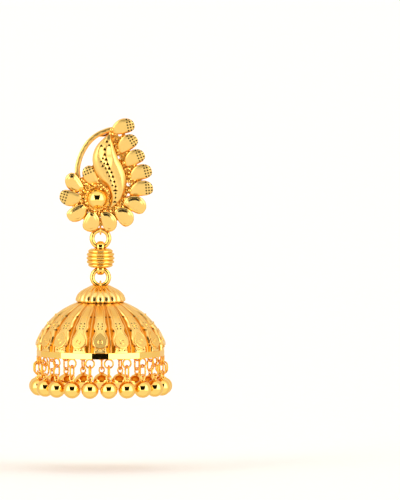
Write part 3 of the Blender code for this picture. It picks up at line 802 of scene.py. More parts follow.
    def petal_ring(self, petal: Petal, inset: float, depth: float, count: int = 56) -> list[Vector]:
        """The outline of a petal drawn in by an inset.

        Args:
            petal: the petal.
            inset: how far it is drawn in.
            depth: how far in front of the stud's back it lies in the petal's middle.
            count: how many points.

        Returns:
            The points round it.
        """
        tail = petal.tail * self.reach
        along = petal.head * self.reach - tail
        length = along.length
        along.normalize()
        left = Vector((-along.y, along.x))
        half_width = petal.width * self.petal_width / 2
        middle = tail + along * length / 2
        points = []
        for index in range(count):
            angle = 2 * math.pi * (index + 0.5) / count
            reached = (1 - math.cos(angle)) / 2
            rounded = math.copysign(abs(math.sin(angle)) ** self.petal_squareness, math.sin(angle))
            across = rounded * (self.petal_taper + (1 - self.petal_taper) * reached**0.5)
            forward = length / 2 + (reached - 0.5) * (length - 2 * inset)
            swell = (4 * reached * (1 - reached) - self.petal_hook * (1 - reached) ** 4) * self.petal_swell
            side = across * (half_width - inset) + swell * length
            place = tail + along * forward + left * side
            tilted = depth + math.tan(self.petal_tilt) * (place.y - middle.y) * (depth > self.foot)
            points.append(Vector((place.x, -tilted, place.y)))
        return points

    def petal_shape(self, petal: Petal) -> Shape:
        """A cast petal: upright wall, rounded edge and a face that swells a little.

        Args:
            petal: the petal.

        Returns:
            The petal, with its own lengths along and across in the attribute that punches read.
        """
        top = self.foot + self.petal_thickness
        half_width = petal.width * self.petal_width / 2
        rows = [(0.0, self.foot), (0.0, top - self.petal_rise)]
        for step in range(1, self.edge_steps + 1):
            angle = math.pi / 2 * step / self.edge_steps
            inset = self.petal_edge * (1 - math.cos(angle))
            rows.append((inset, top - self.petal_rise * (1 - math.sin(angle))))
        face = half_width - self.petal_edge
        crown, swollen = self.punched_face if petal.punched else self.plain_face
        for step in range(1, self.face_steps + 1):
            share = step / self.face_steps
            inset = self.petal_edge + swollen * face * share
            rows.append((inset, top + crown * (1 - (1 - share) ** 2)))
        rings = []
        for inset, depth in rows:
            # Painted reflection: down the petal's wall the finish mixes in the orange of a second bounce
            low = ease((top - self.petal_rise - depth) / (self.petal_thickness - self.petal_rise))
            rings.append([Spot(point, 0.0, low) for point in self.petal_ring(petal, inset, depth)])
        shape = lofted(rings)
        self.measure_petal(shape, petal)
        return shape

    def measure_petal(self, shape: Shape, petal: Petal) -> None:
        """Store how far each point of a petal is from its head and from its middle line.

        Args:
            shape: the petal's shape.
            petal: the petal.
        """
        layer = shape.verts.layers.float_vector.new("petal")
        head = petal.head * self.reach
        along = (petal.tail * self.reach - head).normalized()
        side = Vector((-along.y, along.x))
        for vertex in shape.verts:
            offset = Vector((vertex.co.x, vertex.co.z)) - head
            vertex[layer] = (offset.dot(along), offset.dot(side) + PUNCH_PITCH_ACROSS * PUNCH_SHIFT, 0.0)

    def granules(self) -> Shape:
        """The grains at the petals' tails and round the leaf.

        Returns:
            All of them in one shape.
        """
        at_tail = self.foot + self.petal_thickness * self.tail_grain_height
        shapes = []
        for petal in self.petals:
            place = self.at(petal.tail_x, petal.tail_z, at_tail)
            shapes.append(moved(granule(self.tail_grain), place))
        beside_leaf = self.foot + self.leaf_grain_height
        for _, _, right_x, right_z, _ in smooth_between(self.leaf, 3)[3:-2:2]:
            place = self.at(right_x + self.leaf_grain_gap, right_z, beside_leaf)
            shapes.append(moved(granule(self.leaf_grain), place))
        return joined(shapes)

    def crumbs(self) -> Shape:
        """The fine granulation that covers the backing wherever nothing else is soldered.

        Returns:
            All of the grains in one shape.
        """
        chance = random.Random(self.seed)
        outline = [Vector(point) for point in smooth_between(self.backing, 3)]
        shapes = []
        for _ in range(self.crumb_tries):
            place = Vector((chance.uniform(*self.crumb_x), chance.uniform(*self.crumb_z)))
            radius = chance.uniform(*self.crumb_radius) * MM
            if not self.inside(outline, place) or self.pierced(place):
                continue
            depth = self.backing_thickness + chance.uniform(*self.crumb_height) * MM
            shapes.append(moved(granule(radius, 1), self.at(place.x, place.y, depth)))
        return joined(shapes)

    @staticmethod
    def inside(outline: Sequence[Vector], place: Vector) -> bool:
        """Whether a place lies inside an outline.

        Args:
            outline: the outline's points in order.
            place: the place.

        Returns:
            True if it lies inside.
        """
        within = False
        for start, end in zip(outline, outline[1:] + outline[:1]):
            if (start.y > place.y) != (end.y > place.y):
                if place.x < start.x + (place.y - start.y) / (end.y - start.y) * (end.x - start.x):
                    within = not within
        return within

    def pierced(self, place: Vector) -> bool:
        """Whether a place lies on one of the openings."""
        room = self.piercing_radius / self.reach + self.piercing_rim
        return any((Vector(hole) - place).length < room for hole in self.piercings)

    def scrollwork(self) -> Shape:
        """The small wire rings that fill the gaps between the petals.

        Returns:
            All of them in one shape.
        """
        shapes = []
        depth = self.foot + self.scroll_height
        for petal, after in zip(self.petals, self.petals[1:] + self.petals[:1]):
            for share, radius in self.scrolls:
                start = petal.tail.lerp(petal.head, share)
                end = after.tail.lerp(after.head, share)
                if (start - end).length > self.scroll_gap:
                    continue
                place = start.lerp(end, 0.5)
                ring = wire_ring(radius * MM, self.scroll_wire, 20, 8)
                shapes.append(moved(ring, self.at(place.x, place.y, depth)))
        return joined(shapes)

    def backing_shape(self) -> Shape:
        """The pierced plate behind the petals, with its edges broken.

        Returns:
            The plate.
        """
        shape = bmesh.new()
        outline = smooth_between([*self.backing, self.backing[0]], 6)[:-1]
        edges = ring_edges(shape, first_ring(shape, [Spot(self.at(x, z, 0.0)) for x, z in outline]))
        for x, z in self.piercings:
            hole = bmesh.ops.create_circle(
                shape,
                cap_ends=False,
                segments=24,
                radius=self.piercing_radius,
                matrix=Matrix.Translation(self.at(x, z, 0.0)) @ QUARTER_X,
            )["verts"]
            edges += ring_edges(shape, hole)
        faces = bmesh.ops.triangle_fill(shape, use_beauty=True, edges=edges)["geom"]
        faces = [item for item in faces if isinstance(item, bmesh.types.BMFace)]
        grown = bmesh.ops.extrude_face_region(shape, geom=faces, use_keep_orig=True)["geom"]
        front = [item for item in grown if isinstance(item, Vertex)]
        bmesh.ops.translate(shape, verts=front, vec=(0.0, -self.backing_thickness, 0.0))
        return shape

    def valley_x(self, z: float) -> float:
        """Where the leaf's valley runs.

        Args:
            z: a height in millimetres.

        Returns:
            The valley's x there in millimetres.
        """
        row = self.notches[: self.valley_cuts]
        for upper, lower in zip(row, row[1:]):
            if z >= lower.z:
                share = min((upper.z - z) / (upper.z - lower.z), 1.0)
                return upper.x + (lower.x - upper.x) * share
        return row[-1].x

    def leaf_depth(self, x: float, z: float, across: float, rise: float) -> tuple[float, float]:
        """How far the leaf stands forward at a point, and how deep in a cut the point is.

        Args:
            x: the point's x in millimetres.
            z: its height in millimetres.
            across: the share of the way from the left edge to the right one.
            rise: the share of the leaf's full height there.

        Returns:
            The depth in metres and the cut from 0 to 1.
        """
        edge = min(across, 1 - across) / self.leaf_rounding
        body = self.leaf_rim + (1 - self.leaf_rim) * math.sin(min(edge, 1.0) * math.pi / 2)
        low, rising = self.scoop_widens
        high, falling = self.scoop_narrows
        upper = ease((z - low) / rising) * ease((high - z) / falling)
        spread = self.scoop_spread[0] + self.scoop_spread[1] * upper
        centre = self.valley_x(z) + self.scoop_shift * upper
        deep = self.scoop_depth[0] + self.scoop_depth[1] * upper
        scoop = deep * math.exp(-(((x - centre) / spread) ** 2))
        cut = 0.0
        for notch in self.notches:
            down = (notch.z - z) / notch.half_height
            wide = abs(x - notch.x) / notch.half_width
            # A triangle that points up
            reach = max(down, wide - 0.5 * down + 0.2)
            cut = max(cut, 1 - ease((reach - self.cut_floor) / self.cut_wall))
        height = (body - scoop) * rise * self.leaf_height + math.tan(self.leaf_tilt) * z * MM
        return self.foot + self.petal_thickness + height - self.cut_depth * cut, cut

    def leaf_shape(self) -> Shape:
        """The S-shaped leaf with its scooped middle and its rows of cuts.

        Returns:
            The leaf, with the cuts in the attribute that the finish blackens as painted shade.
        """
        to_mm = self.reach / MM
        rings = []
        for left_x, left_z, right_x, right_z, rise in smooth_between(self.leaf, 22):
            # The side walls are marked fully grooved, so the finish paints them with the orange of a second
            # bounce as painted reflection
            ring = [Spot(self.at(left_x, left_z, self.foot), 0.0, 1.0)]
            for column in range(self.leaf_columns + 1):
                across = column / self.leaf_columns
                x = left_x + (right_x - left_x) * across
                z = left_z + (right_z - left_z) * across
                depth, cut = self.leaf_depth(x * to_mm, z * to_mm, across, rise)
                ring.append(Spot(self.at(x, z, depth), cut))
            ring.append(Spot(self.at(right_x, right_z, self.foot), 0.0, 1.0))
            rings.append(ring)
        return lofted(rings)

    def strip(self, route: Sequence[Pair], width: float, thickness: float) -> Shape:
        """A flat wire along a route, lightly faceted by the hammer.

        Args:
            route: points of the route as shares of the reach.
            width: the strip's width seen from the front.
            thickness: its size from front to back.

        Returns:
            The strip.
        """
        middle = thickness / 2 + self.solder_depth / 2
        points = [Vector((x, z)) * self.reach for x, z in smooth_between(route, 9)]
        rings = []
        for index, point in enumerate(points):
            ahead = points[min(index + 1, len(points) - 1)] - points[max(index - 1, 0)]
            ahead.normalize()
            side = Vector((-ahead.y, ahead.x))
            roll = self.hammer_roll * math.sin(index * self.hammer_pace)
            ring = []
            for step in range(self.wire_sides):
                angle = 2 * math.pi * (step + 0.5) / self.wire_sides
                cosine, sine = math.cos(angle), math.sin(angle)
                flat = math.copysign(abs(cosine) ** self.wire_squareness, cosine) * width / 2
                deep = math.copysign(abs(sine) ** self.wire_squareness, sine) * thickness / 2
                across = flat * math.cos(roll) - deep * math.sin(roll)
                depth = middle + flat * math.sin(roll) + deep * math.cos(roll)
                place = Vector((point.x + side.x * across, -max(depth, 0.0), point.y + side.y * across))
                ring.append(Spot(place))
            rings.append(ring)
        return lofted(rings)

    def centre_ball(self) -> Shape:
        """The polished ball in the middle of the flower."""
        depth = self.backing_thickness + self.ball_radius * self.ball_proud
        return moved(ball(self.ball_radius, 64, 40), self.at(*self.ball_at, depth))

    def collar(self) -> Shape:
        """The wire and the row of grains that the ball sits in.

        Returns:
            The collar.
        """
        depth = self.backing_thickness + self.collar_wire / 2 - self.solder_depth
        middle = self.ball_radius + self.collar_wire / 4
        place = self.at(*self.ball_at, depth)
        shapes = [moved(wire_ring(middle, self.collar_wire, 64, 12), place)]
        forward = Vector((0.0, -self.collar_rise, 0.0))
        for index in range(self.collar_grains):
            angle = 2 * math.pi * index / self.collar_grains
            offset = Vector((math.cos(angle), 0.0, math.sin(angle))) * (middle + self.collar_spread)
            shapes.append(moved(granule(self.collar_grain), place + offset + forward))
        return joined(shapes)

    def eyelet(self) -> Shape:
        """The loop that the drop hangs on."""
        ring = wire_ring(self.eyelet_middle, self.eyelet_wire, 32, 12)
        return moved(ring, (0.0, self.hang_y, self.eyelet_z), QUARTER_Z)


@dataclass
class EarPost:
    """The post through the ear, on its base disc."""

    length: float = 11.0 * MM
    radius: float = 0.475 * MM
    base_radius: float = 1.5 * MM
    base_thickness: float = 0.4 * MM
    gap: float = 0.12 * MM

    def build(self) -> None:
        """Make the post."""
        base = self.gap + self.base_thickness
        profile = [
            (0.0, self.length),
            (self.radius * 0.45, self.length - 0.03 * MM),
            (self.radius * 0.85, self.length - 0.22 * MM),
            (self.radius, self.length - 0.6 * MM),
            (self.radius, self.length - 2.0 * MM),
            (self.radius * 0.8, self.length - 2.15 * MM),
            (self.radius * 0.8, self.length - 2.45 * MM),
            (self.radius, self.length - 2.6 * MM),
            (self.radius, base + 0.25 * MM),
            (self.radius + 0.25 * MM, base),
            (self.base_radius - 0.08 * MM, base),
            (self.base_radius, base - 0.08 * MM),
            (self.base_radius, self.gap + 0.05 * MM),
            (self.base_radius - 0.05 * MM, self.gap),
            (0.0, self.gap),
        ]
        shape = moved(turned(profile, 48), (0.0, 0.0, 0.0), Matrix.Rotation(-math.pi / 2, 4, "X"))
        put_in_scene(shape, "ear_post_turned", POLISHED, Body.STUD, ["ear_post"])


@dataclass
class HeavyRing:
    """A thick closed ring of the drop."""

    name: str
    node: str
    body: Body
    middle: float
    wire: float
    z: float
    y: float = 0.15 * MM

    def build(self) -> None:
        """Make the ring."""
        shape = moved(wire_ring(self.middle, self.wire, 80, 28), (0.0, self.y, self.z))
        put_in_scene(shape, self.name, POLISHED, self.body, [self.node])


@dataclass
class SpacerBead:
    """The ridged barrel bead between the two rings, with a strap eye in each dished end."""

    diameter: float = 4.5 * MM
    height: float = 3.1 * MM
    top_z: float = -12.55 * MM
    ridges: int = 5
    taper: float = 0.27
    ridge_depth: float = 0.26 * MM
    ridge_roundness: float = 0.7
    ridge_steps: int = 12
    dish_radius: float = 1.0 * MM
    dish_floor: float = 0.85
    dish_bevel: float = 0.1 * MM
    lip: float = 0.06 * MM
    eye_middle: float = 0.73 * MM
    eye_wire: float = 0.42 * MM
    eye_width: float = 1.1 * MM
    top_eye_z: float = -12.30 * MM
    bottom_eye_z: float = -15.89 * MM
    y: float = 0.15 * MM

    def build(self) -> None:
        """Make the bead and its eyes."""
        put_in_scene(self.barrel(), "ridged_bead", RIDGED, Body.BEAD, ["spacer_bead"])
        shapes = []
        for z in (self.top_eye_z, self.bottom_eye_z):
            eye = wire_ring(self.eye_middle, self.eye_wire, 40, 16, width=self.eye_width)
            shapes.append(moved(eye, (0.0, self.y, z), QUARTER_Z))
        put_in_scene(joined(shapes), "bead_eyes", POLISHED, Body.BEAD)

    def barrel(self) -> Shape:
        """The turned barrel with its rounded ridges.

        Returns:
            The barrel.
        """
        bottom_z = self.top_z - self.height
        top_floor = self.top_eye_z - self.eye_middle
        bottom_floor = self.bottom_eye_z + self.eye_middle
        pitch = self.height / self.ridges
        middle_z = (self.top_z + bottom_z) / 2
        dish = self.dish_radius
        profile = [(0.0, top_floor), (dish * self.dish_floor, top_floor)]
        profile += [(dish, self.top_z - self.dish_bevel), (dish + self.lip, self.top_z)]
        for index in range(1, self.ridges * self.ridge_steps):
            height = self.top_z - pitch * index / self.ridge_steps
            away = abs(height - middle_z) / (self.height / 2)
            barrel = self.diameter / 2 * (1 - self.taper * away**3)
            swell = abs(math.sin(math.pi * index / self.ridge_steps)) ** self.ridge_roundness
            profile.append((barrel - self.ridge_depth * (1 - swell), height))
        profile += [(dish + self.lip, bottom_z), (dish, bottom_z + self.dish_bevel)]
        profile += [(dish * self.dish_floor, bottom_floor), (0.0, bottom_floor)]
        return moved(turned(profile, 96), (0.0, self.y, 0.0))


@dataclass
class BellShape:
    """The sizes that the cap, the dome and the band share."""

    y: float = 0.15 * MM
    cap_top: float = -18.46 * MM
    cap_height: float = 2.5 * MM
    cap_radius: float = 4.0 * MM
    dome_foot: float = -28.90 * MM
    reach: float = 10.35 * MM
    rise: float = 8.869 * MM
    fullness: float = 1.8
    gap: float = 0.12 * MM

    @property
    def cap_bottom(self) -> float:
        """Height of the cap's edge."""
        return self.cap_top - self.cap_height

    def radius(self, height: float, inset: float = 0.0) -> float:
        """Radius of the dome's outermost surface, drawn in by an inset, at a height."""
        share = min(max((height - self.dome_foot) / (self.rise - inset), 0.0), 1.0)
        return (self.reach - inset) * (1 - share**self.fullness) ** (1 / self.fullness)

    def height(self, radius: float, inset: float = 0.0) -> float:
        """Height at which that surface has a radius."""
        share = (1 - (radius / (self.reach - inset)) ** self.fullness) ** (1 / self.fullness)
        return self.dome_foot + (self.rise - inset) * share


@dataclass
class EyePin:
    """The pin that carries the bell: its eye shows between the ring and the cap."""

    bell: BellShape
    eye_z: float = -18.51 * MM
    eye_middle: float = 0.66 * MM
    wire: float = 0.3 * MM
    stem_radius: float = 0.24 * MM
    foot_radius: float = 1.0 * MM
    foot_top: float = -21.02 * MM
    foot_thickness: float = 0.3 * MM

    def build(self) -> None:
        """Make the pin."""
        top = self.eye_z - self.eye_middle
        low = self.foot_top - self.foot_thickness
        profile = [
            (0.0, top),
            (self.stem_radius, top - 0.05 * MM),
            (self.stem_radius, self.foot_top),
            (self.foot_radius - 0.06 * MM, self.foot_top),
            (self.foot_radius, self.foot_top - 0.06 * MM),
            (self.foot_radius, low + 0.1 * MM),
            (self.foot_radius - 0.1 * MM, low),
            (0.0, low),
        ]
        eye = wire_ring(self.eye_middle, self.wire, 40, 14)
        moved(eye, (0.0, 0.0, self.eye_z), QUARTER_Z)
        shape = moved(joined([turned(profile, 32), eye]), (0.0, self.bell.y, 0.0))
        put_in_scene(shape, "eye_pin", POLISHED, Body.BELL, ["cap_eye_pin"])


@dataclass
class BellCap:
    """The fluted cap: rounded lobes with sharp valleys between them."""

    bell: BellShape
    flutes: int = 20
    flute_depth: float = 0.20 * MM
    floor_z: float = -19.44 * MM
    well_radius: float = 1.25 * MM
    hole_radius: float = 0.36 * MM
    cover: float = 0.35 * MM
    under_shares: Sequence[float] = (0.93, 0.7, 0.4, 0.15)
    columns: int = 16
    # Share of the radius, share of the height and depth of the flutes, from the collar to the edge
    rows: Sequence[tuple[float, float, float]] = (
        (0.37, 0.00, 0.0),
        (0.43, 0.05, 0.2),
        (0.58, 0.17, 0.6),
        (0.76, 0.33, 0.85),
        (0.91, 0.56, 1.0),
        (0.985, 0.80, 1.0),
        (1.00, 0.93, 0.9),
        (0.985, 1.00, 0.8),
    )

    def build(self) -> None:
        """Make the cap."""
        put_in_scene(self.shape(), "fluted_cap", FLUTED, Body.BELL, ["bell_cap"], crease=50.0)

    def shape(self) -> Shape:
        """The cap's outside, underside, hole and well as one closed shape.

        Returns:
            The cap.
        """
        count = self.flutes * self.columns
        radius = self.bell.cap_radius
        rings = []
        for share, down, flute in smooth_between(self.rows, 6):
            height = self.bell.cap_top - down * self.bell.cap_height
            rings.append(self.ring(count, share * radius, height, flute * self.flute_depth))
        cover = self.cover - self.bell.gap
        under = [(share * radius, self.bell.height(share * radius, cover)) for share in self.under_shares]
        under += [(self.hole_radius, self.floor_z), (self.well_radius, self.floor_z)]
        under += [(self.well_radius, self.bell.cap_top - 0.1 * MM)]
        for inner, height in under:
            rings.append(self.ring(count, inner, height, 0.0))
        return moved(lofted(rings, closed=True), (0.0, self.bell.y, 0.0))

    def ring(self, count: int, radius: float, height: float, depth: float) -> list[Spot]:
        """One level of the cap.

        Args:
            count: how many points.
            radius: radius on the lobes.
            height: its height.
            depth: how deep the valleys between the lobes are.

        Returns:
            The points round it.
        """
        points = []
        for index in range(count):
            angle = -math.pi / 2 + 2 * math.pi * index / count
            lobe = abs(math.cos(self.flutes / 2 * (angle + math.pi / 2)))
            out = radius - depth * (1 - lobe)
            # Painted reflection: the valleys between lobes get the orange of a second bounce
            groove = 0.6 * (1 - lobe) ** 2 * (depth > 0.0)
            points.append(Spot(polar(out, angle, height), 0.0, groove))
        return points


@dataclass
class BellDome:
    """The domed shell with its raised bottle-shaped panels, and its faceted band and loops."""

    bell: BellShape
    panels: int = 18
    relief: float = 0.35 * MM
    gutter: float = 0.16 * MM
    wall: float = 0.5 * MM
    slope: float = 0.14 * MM
    rib_reach: float = 0.17 * MM
    line_inset: float = 0.34 * MM
    line_reach: float = 0.10 * MM
    line_depth: float = 0.06 * MM
    # Between which shares of the way down the line is chased
    line_span: Pair = (0.1, 0.97)
    hollow_depth: float = 0.12 * MM
    hollow_stretch: float = 1.2
    columns: int = 46
    levels: int = 110
    under_cap: float = 0.5
    band_tuck: float = 0.1 * MM
    inner_depth: float = 0.2 * MM
    inner_shares: Sequence[float] = (0.93, 0.85, 0.7, 0.5, 0.3)
    lining_hole: float = 0.5 * MM
    lining_thickness: float = 0.15 * MM
    lining_steps: int = 17
    band_facets: int = 24
    band_flat_radius: float = 10.2 * MM
    band_height: float = 1.0 * MM
    band_lap: float = 0.2 * MM
    band_wall: float = 0.6 * MM
    drops: int = 21
    drop_turn: float = math.radians(7.8)
    drop_radius: float = 10.1 * MM
    loop_middle: float = 0.695 * MM
    loop_wire: float = 0.27 * MM
    # Share of the way down, half width as a share of half the pitch, and relief
    outline: Sequence[tuple[float, float, float]] = (
        (0.00, 0.76, 0.35),
        (0.07, 0.79, 0.60),
        (0.17, 0.80, 0.90),
        (0.27, 0.70, 1.00),
        (0.36, 0.66, 1.00),
        (0.46, 0.76, 1.00),
        (0.55, 0.56, 1.00),
        (0.71, 0.80, 1.00),
        (0.81, 0.78, 1.00),
        (0.90, 0.54, 0.90),
        (1.00, 0.62, 0.60),
    )
    plate_down: float = 0.735
    plate_half_width: float = 1.36 * MM
    plate_half_height: float = 1.38 * MM
    plate_proud: float = 0.11 * MM
    plate_lean: float = math.radians(3.0)
    plate_thickness: float = 0.36 * MM
    plate_edge: float = 0.08 * MM
    plate_point: float = 0.6
    plate_span: float = 0.12
    plate_ring: Pair = (0.36 * MM, 0.14 * MM)
    plate_ring_drop: float = 0.2
    # Hollows on either half of each panel, darkened with painted shade: across, down, half size in
    # millimetres
    hollows: Sequence[tuple[float, float, float]] = (
        (0.74, 0.27, 0.14),
        (0.60, 0.55, 0.16),
        (0.64, 0.87, 0.12),
        (0.22, 0.40, 0.12),
        (0.24, 0.45, 0.11),
        (0.18, 0.50, 0.12),
        (0.26, 0.945, 0.12),
    )
    # Grains on each panel: across, down, radius in millimetres
    grains: Sequence[tuple[float, float, float]] = (
        (0.0, 0.45, 0.16),
        (0.0, 0.93, 0.16),
        (-0.34, 0.94, 0.1),
        (0.34, 0.94, 0.1),
        (-0.3, 0.27, 0.1),
        (0.3, 0.27, 0.1),
    )

    @property
    def band_top(self) -> float:
        """Height of the band's top edge."""
        return self.bell.dome_foot + self.band_lap

    @property
    def band_bottom(self) -> float:
        """Height of the band's bottom edge."""
        return self.band_top - self.band_height

    def build(self) -> None:
        """Make the shell, its lining, plates and bosses, the band and the loops."""
        put_in_scene(self.shell(), "panelled_shell", STAMPED, Body.BELL, ["bell_dome"], crease=70.0)
        put_in_scene(self.lining(), "shell_lining", CAST_IN_PAINTED_SHADE, Body.BELL, crease=60.0)
        put_in_scene(self.plates(), "teardrop_plates", WIPED, Body.BELL, crease=20.0)
        put_in_scene(self.bosses(), "panel_bosses", POLISHED, Body.BELL)
        put_in_scene(self.band(), "faceted_band", MIRROR, Body.BELL, crease=5.0)
        put_in_scene(self.loops(), "rim_loops", LINKED, Body.BELL)

    def panel_at(self, down: float) -> tuple[float, float]:
        """Size of a panel at one level.

        Args:
            down: share of the way down.

        Returns:
            Its half width as a share of half the pitch, and the share of the full relief.
        """
        for upper, lower in zip(self.outline, self.outline[1:]):
            if down <= lower[0]:
                share = ease((down - upper[0]) / (lower[0] - upper[0]))
                return upper[1] + (lower[1] - upper[1]) * share, upper[2] + (lower[2] - upper[2]) * share
        return self.outline[-1][1], self.outline[-1][2]

    def level_height(self, down: float) -> float:
        """Height at a share of the way down the panels."""
        top = self.bell.cap_bottom - self.bell.gap
        return top + (self.band_top - top) * down

    def stand(self, across: float, down: float, pitch: float) -> tuple[float, float, float]:
        """How far the shell stands off its base at a point, and how hollow and grooved it is there.

        Args:
            across: from -1 to 1, from the middle of one groove to the middle of the next.
            down: share of the way down.
            pitch: half the panels' pitch there, in metres.

        Returns:
            The height in metres, and the hollow and the groove from 0 to 1.
        """
        width, relief = self.panel_at(down)
        edge = (width - abs(across)) * pitch
        rib = max(0.0, 1 - (1 - abs(across)) * pitch / self.rib_reach)
        line = max(0.0, 1 - abs(edge - self.line_inset) / self.line_reach)
        line *= self.line_span[0] < down < self.line_span[1]
        if edge < 0.0:
            gutter_share = min(-edge / max((1 - width) * pitch, 1e-9), 1.0)
            stand = 0.7 * self.gutter * ease(rib) - self.gutter * math.sin(gutter_share * math.pi / 2)
        else:
            stand = self.relief * relief * ease(edge / self.slope) - self.line_depth * ease(line)
        length = self.bell.cap_bottom - self.band_top
        hollow = 0.0
        for place, level, size in self.hollows:
            below = (down - level) * length * self.hollow_stretch
            away = math.hypot((abs(across) - place) * pitch, below) / (size * MM)
            hollow = max(hollow, 1 - ease((away - 0.6) / 0.6))
        # Painted reflection: the groove share paints the gutters, panel edges and chased line orange, as a
        # second bounce
        groove = 1 - ease((edge + 0.02 * MM) / (0.5 * self.slope)) - 0.6 * ease(rib) + 0.5 * ease(line)
        return stand - self.hollow_depth * hollow, hollow, min(max(groove, 0.0), 1.0)

    def shell(self) -> Shape:
        """The shell as one closed wall: the outside with its panels in relief, and a plain inside.

        Returns:
            The shell, with its hollows in the attribute that the finish blackens as painted shade, and its
            gutters in the one that it paints orange as a painted reflection.
        """
        count = self.panels * self.columns
        turns = [-math.pi / 2 + 2 * math.pi * index / count for index in range(count)]
        rings = []
        for level in range(self.levels + 1):
            down = level / self.levels
            height = self.level_height(down)
            base = self.bell.radius(height, self.relief)
            pitch = base * math.pi / self.panels
            wedge = []
            for column in range(self.columns):
                across = 2 * column / self.columns
                across -= 2 * (across > 1)
                wedge.append(self.stand(across, down, pitch))
            ring = []
            for index, turn in enumerate(turns):
                stand, hollow, groove = wedge[index % self.columns]
                ring.append(Spot(polar(base + stand, turn, height), hollow, groove))
            rings.append(ring)
        top = self.bell.cap_radius * self.under_cap
        foot = self.band_flat_radius - self.band_wall
        rings.insert(0, self.circle(turns, top, self.bell.height(top, self.relief)))
        rings.append(self.circle(turns, foot, self.band_top - self.band_tuck))
        inset = self.relief + self.inner_depth
        for share in self.inner_shares:
            inner = share * (self.bell.reach - inset)
            rings.append(self.circle(turns, inner, self.bell.height(inner, inset)))
        return moved(lofted(rings, closed=True), (0.0, self.bell.y, 0.0))

    @staticmethod
    def circle(turns: Sequence[float], radius: float, height: float) -> list[Spot]:
        """A plain level of the shell."""
        return [Spot(polar(radius, turn, height)) for turn in turns]

    def lining(self) -> Shape:
        """The smooth inside of the shell.

        Returns:
            The lining, a thin closed wall.
        """
        inner = self.relief + self.wall
        sides = []
        for inset in (inner, inner - self.lining_thickness):
            side = []
            for step in range(self.lining_steps + 1):
                share = math.sin(step / self.lining_steps * math.pi / 2)
                radius = self.lining_hole + (self.bell.reach - inset - self.lining_hole) * share
                side.append((radius, self.bell.height(radius, inset)))
            sides.append(side)
        return moved(turned(sides[0] + sides[1][::-1], 96), (0.0, self.bell.y, 0.0))

    def plate(self) -> Shape:
        """One flat teardrop plate with a rounded edge and a ring round its middle, facing +Z.

        Returns:
            The plate, point up along +Y, its face at Z = 0.
        """
        shape = bmesh.new()
        rim = bmesh.ops.create_circle(shape, cap_ends=True, segments=32, radius=1.0)["verts"]
        for corner in rim:
            turn = math.atan2(corner.co.x, corner.co.y)
            narrowed = abs(math.sin(turn / 2)) ** self.plate_point
            corner.co.x = self.plate_half_width * math.sin(turn) * narrowed
            corner.co.y = self.plate_half_height * math.cos(turn)
        grown = bmesh.ops.extrude_face_region(shape, geom=shape.faces[:])["geom"]
        lower = [item for item in grown if isinstance(item, Vertex)]
        bmesh.ops.translate(shape, verts=lower, vec=(0.0, 0.0, -self.plate_thickness))
        edges = [edge for edge in shape.edges if all(abs(corner.co.z) < 1e-7 for corner in edge.verts)]
        bmesh.ops.bevel(
            shape, geom=edges, offset=self.plate_edge, segments=2, profile=0.5, affect="EDGES", material=-1
        )
        bmesh.ops.recalc_face_normals(shape, faces=shape.faces)
        centre = (0.0, -self.plate_ring_drop * self.plate_half_height, 0.0)
        return joined([shape, moved(wire_ring(*self.plate_ring, 24, 8), centre, QUARTER_X)])

    def plates(self) -> Shape:
        """The teardrop plate of every panel.

        Returns:
            All of them in one shape.
        """
        above = self.level_height(self.plate_down - self.plate_span)
        below = self.level_height(self.plate_down + self.plate_span)
        drop = Vector((self.bell.radius(above), above)) - Vector((self.bell.radius(below), below))
        drop.normalize()
        drop.rotate(Matrix.Rotation(self.plate_lean, 2))
        height = self.level_height(self.plate_down)
        radius = self.bell.radius(height) + self.plate_proud
        shapes = []
        for panel in range(self.panels):
            angle = -math.pi / 2 + 2 * math.pi / self.panels * panel
            out = Vector((math.cos(angle), math.sin(angle), 0.0))
            along = drop.x * out + Vector((0.0, 0.0, drop.y))
            side = along.cross(drop.y * out - Vector((0.0, 0.0, drop.x)))
            turn = Matrix((side, along, side.cross(along))).transposed().to_4x4()
            place = radius * out + Vector((0.0, self.bell.y, height))
            shapes.append(moved(self.plate(), place, turn))
        return joined(shapes)

    def bosses(self) -> Shape:
        """The grains of the little flower and of the foot on each panel.

        Returns:
            All of them in one shape.
        """
        shapes = []
        for panel in range(self.panels):
            for across, down, radius in self.grains:
                height = self.level_height(down)
                out = self.bell.radius(height, 0.03 * MM)
                angle = -math.pi / 2 + math.pi / self.panels * (2 * panel + across)
                place = (out * math.cos(angle), out * math.sin(angle) + self.bell.y, height)
                shapes.append(moved(granule(radius * MM, 1), place))
        return joined(shapes)

    def band(self) -> Shape:
        """The band of flat cut facets round the rim.

        Returns:
            The band, with its long edges broken.
        """
        corner = self.band_flat_radius / math.cos(math.pi / self.band_facets)
        inner = self.band_flat_radius - self.band_wall
        chamfer = 0.05 * MM
        profile = [
            (corner - chamfer, self.band_top),
            (corner, self.band_top - chamfer),
            (corner, self.band_bottom + chamfer),
            (corner - chamfer, self.band_bottom),
            (inner, self.band_bottom),
            (inner, self.band_top),
        ]
        shape = turned(profile, self.band_facets)
        turn = Matrix.Rotation(math.pi / self.band_facets, 4, "Z")
        return moved(shape, (0.0, self.bell.y, 0.0), turn)

    def at_drop(self, shape: Shape, drop: int) -> Shape:
        """Carry a shape made on the Z axis, facing the front, out to one drop.

        Args:
            shape: the shape.
            drop: the drop's number, from 0.

        Returns:
            The same shape.
        """
        angle = self.drop_turn + 2 * math.pi * drop / self.drops
        turn = Matrix.Rotation(angle, 4, "Z") @ Matrix.Translation((0.0, -self.drop_radius, 0.0))
        return moved(shape, (0.0, self.bell.y, 0.0), turn)

    def loops(self) -> Shape:
        """The small loops soldered under the band.

        Returns:
            All of them in one shape.
        """
        shapes = []
        for drop in range(self.drops):
            loop = wire_ring(self.loop_middle, self.loop_wire, 28, 10)
            moved(loop, (0.0, 0.0, self.band_bottom - self.loop_middle))
            shapes.append(self.at_drop(loop, drop))
        return joined(shapes)


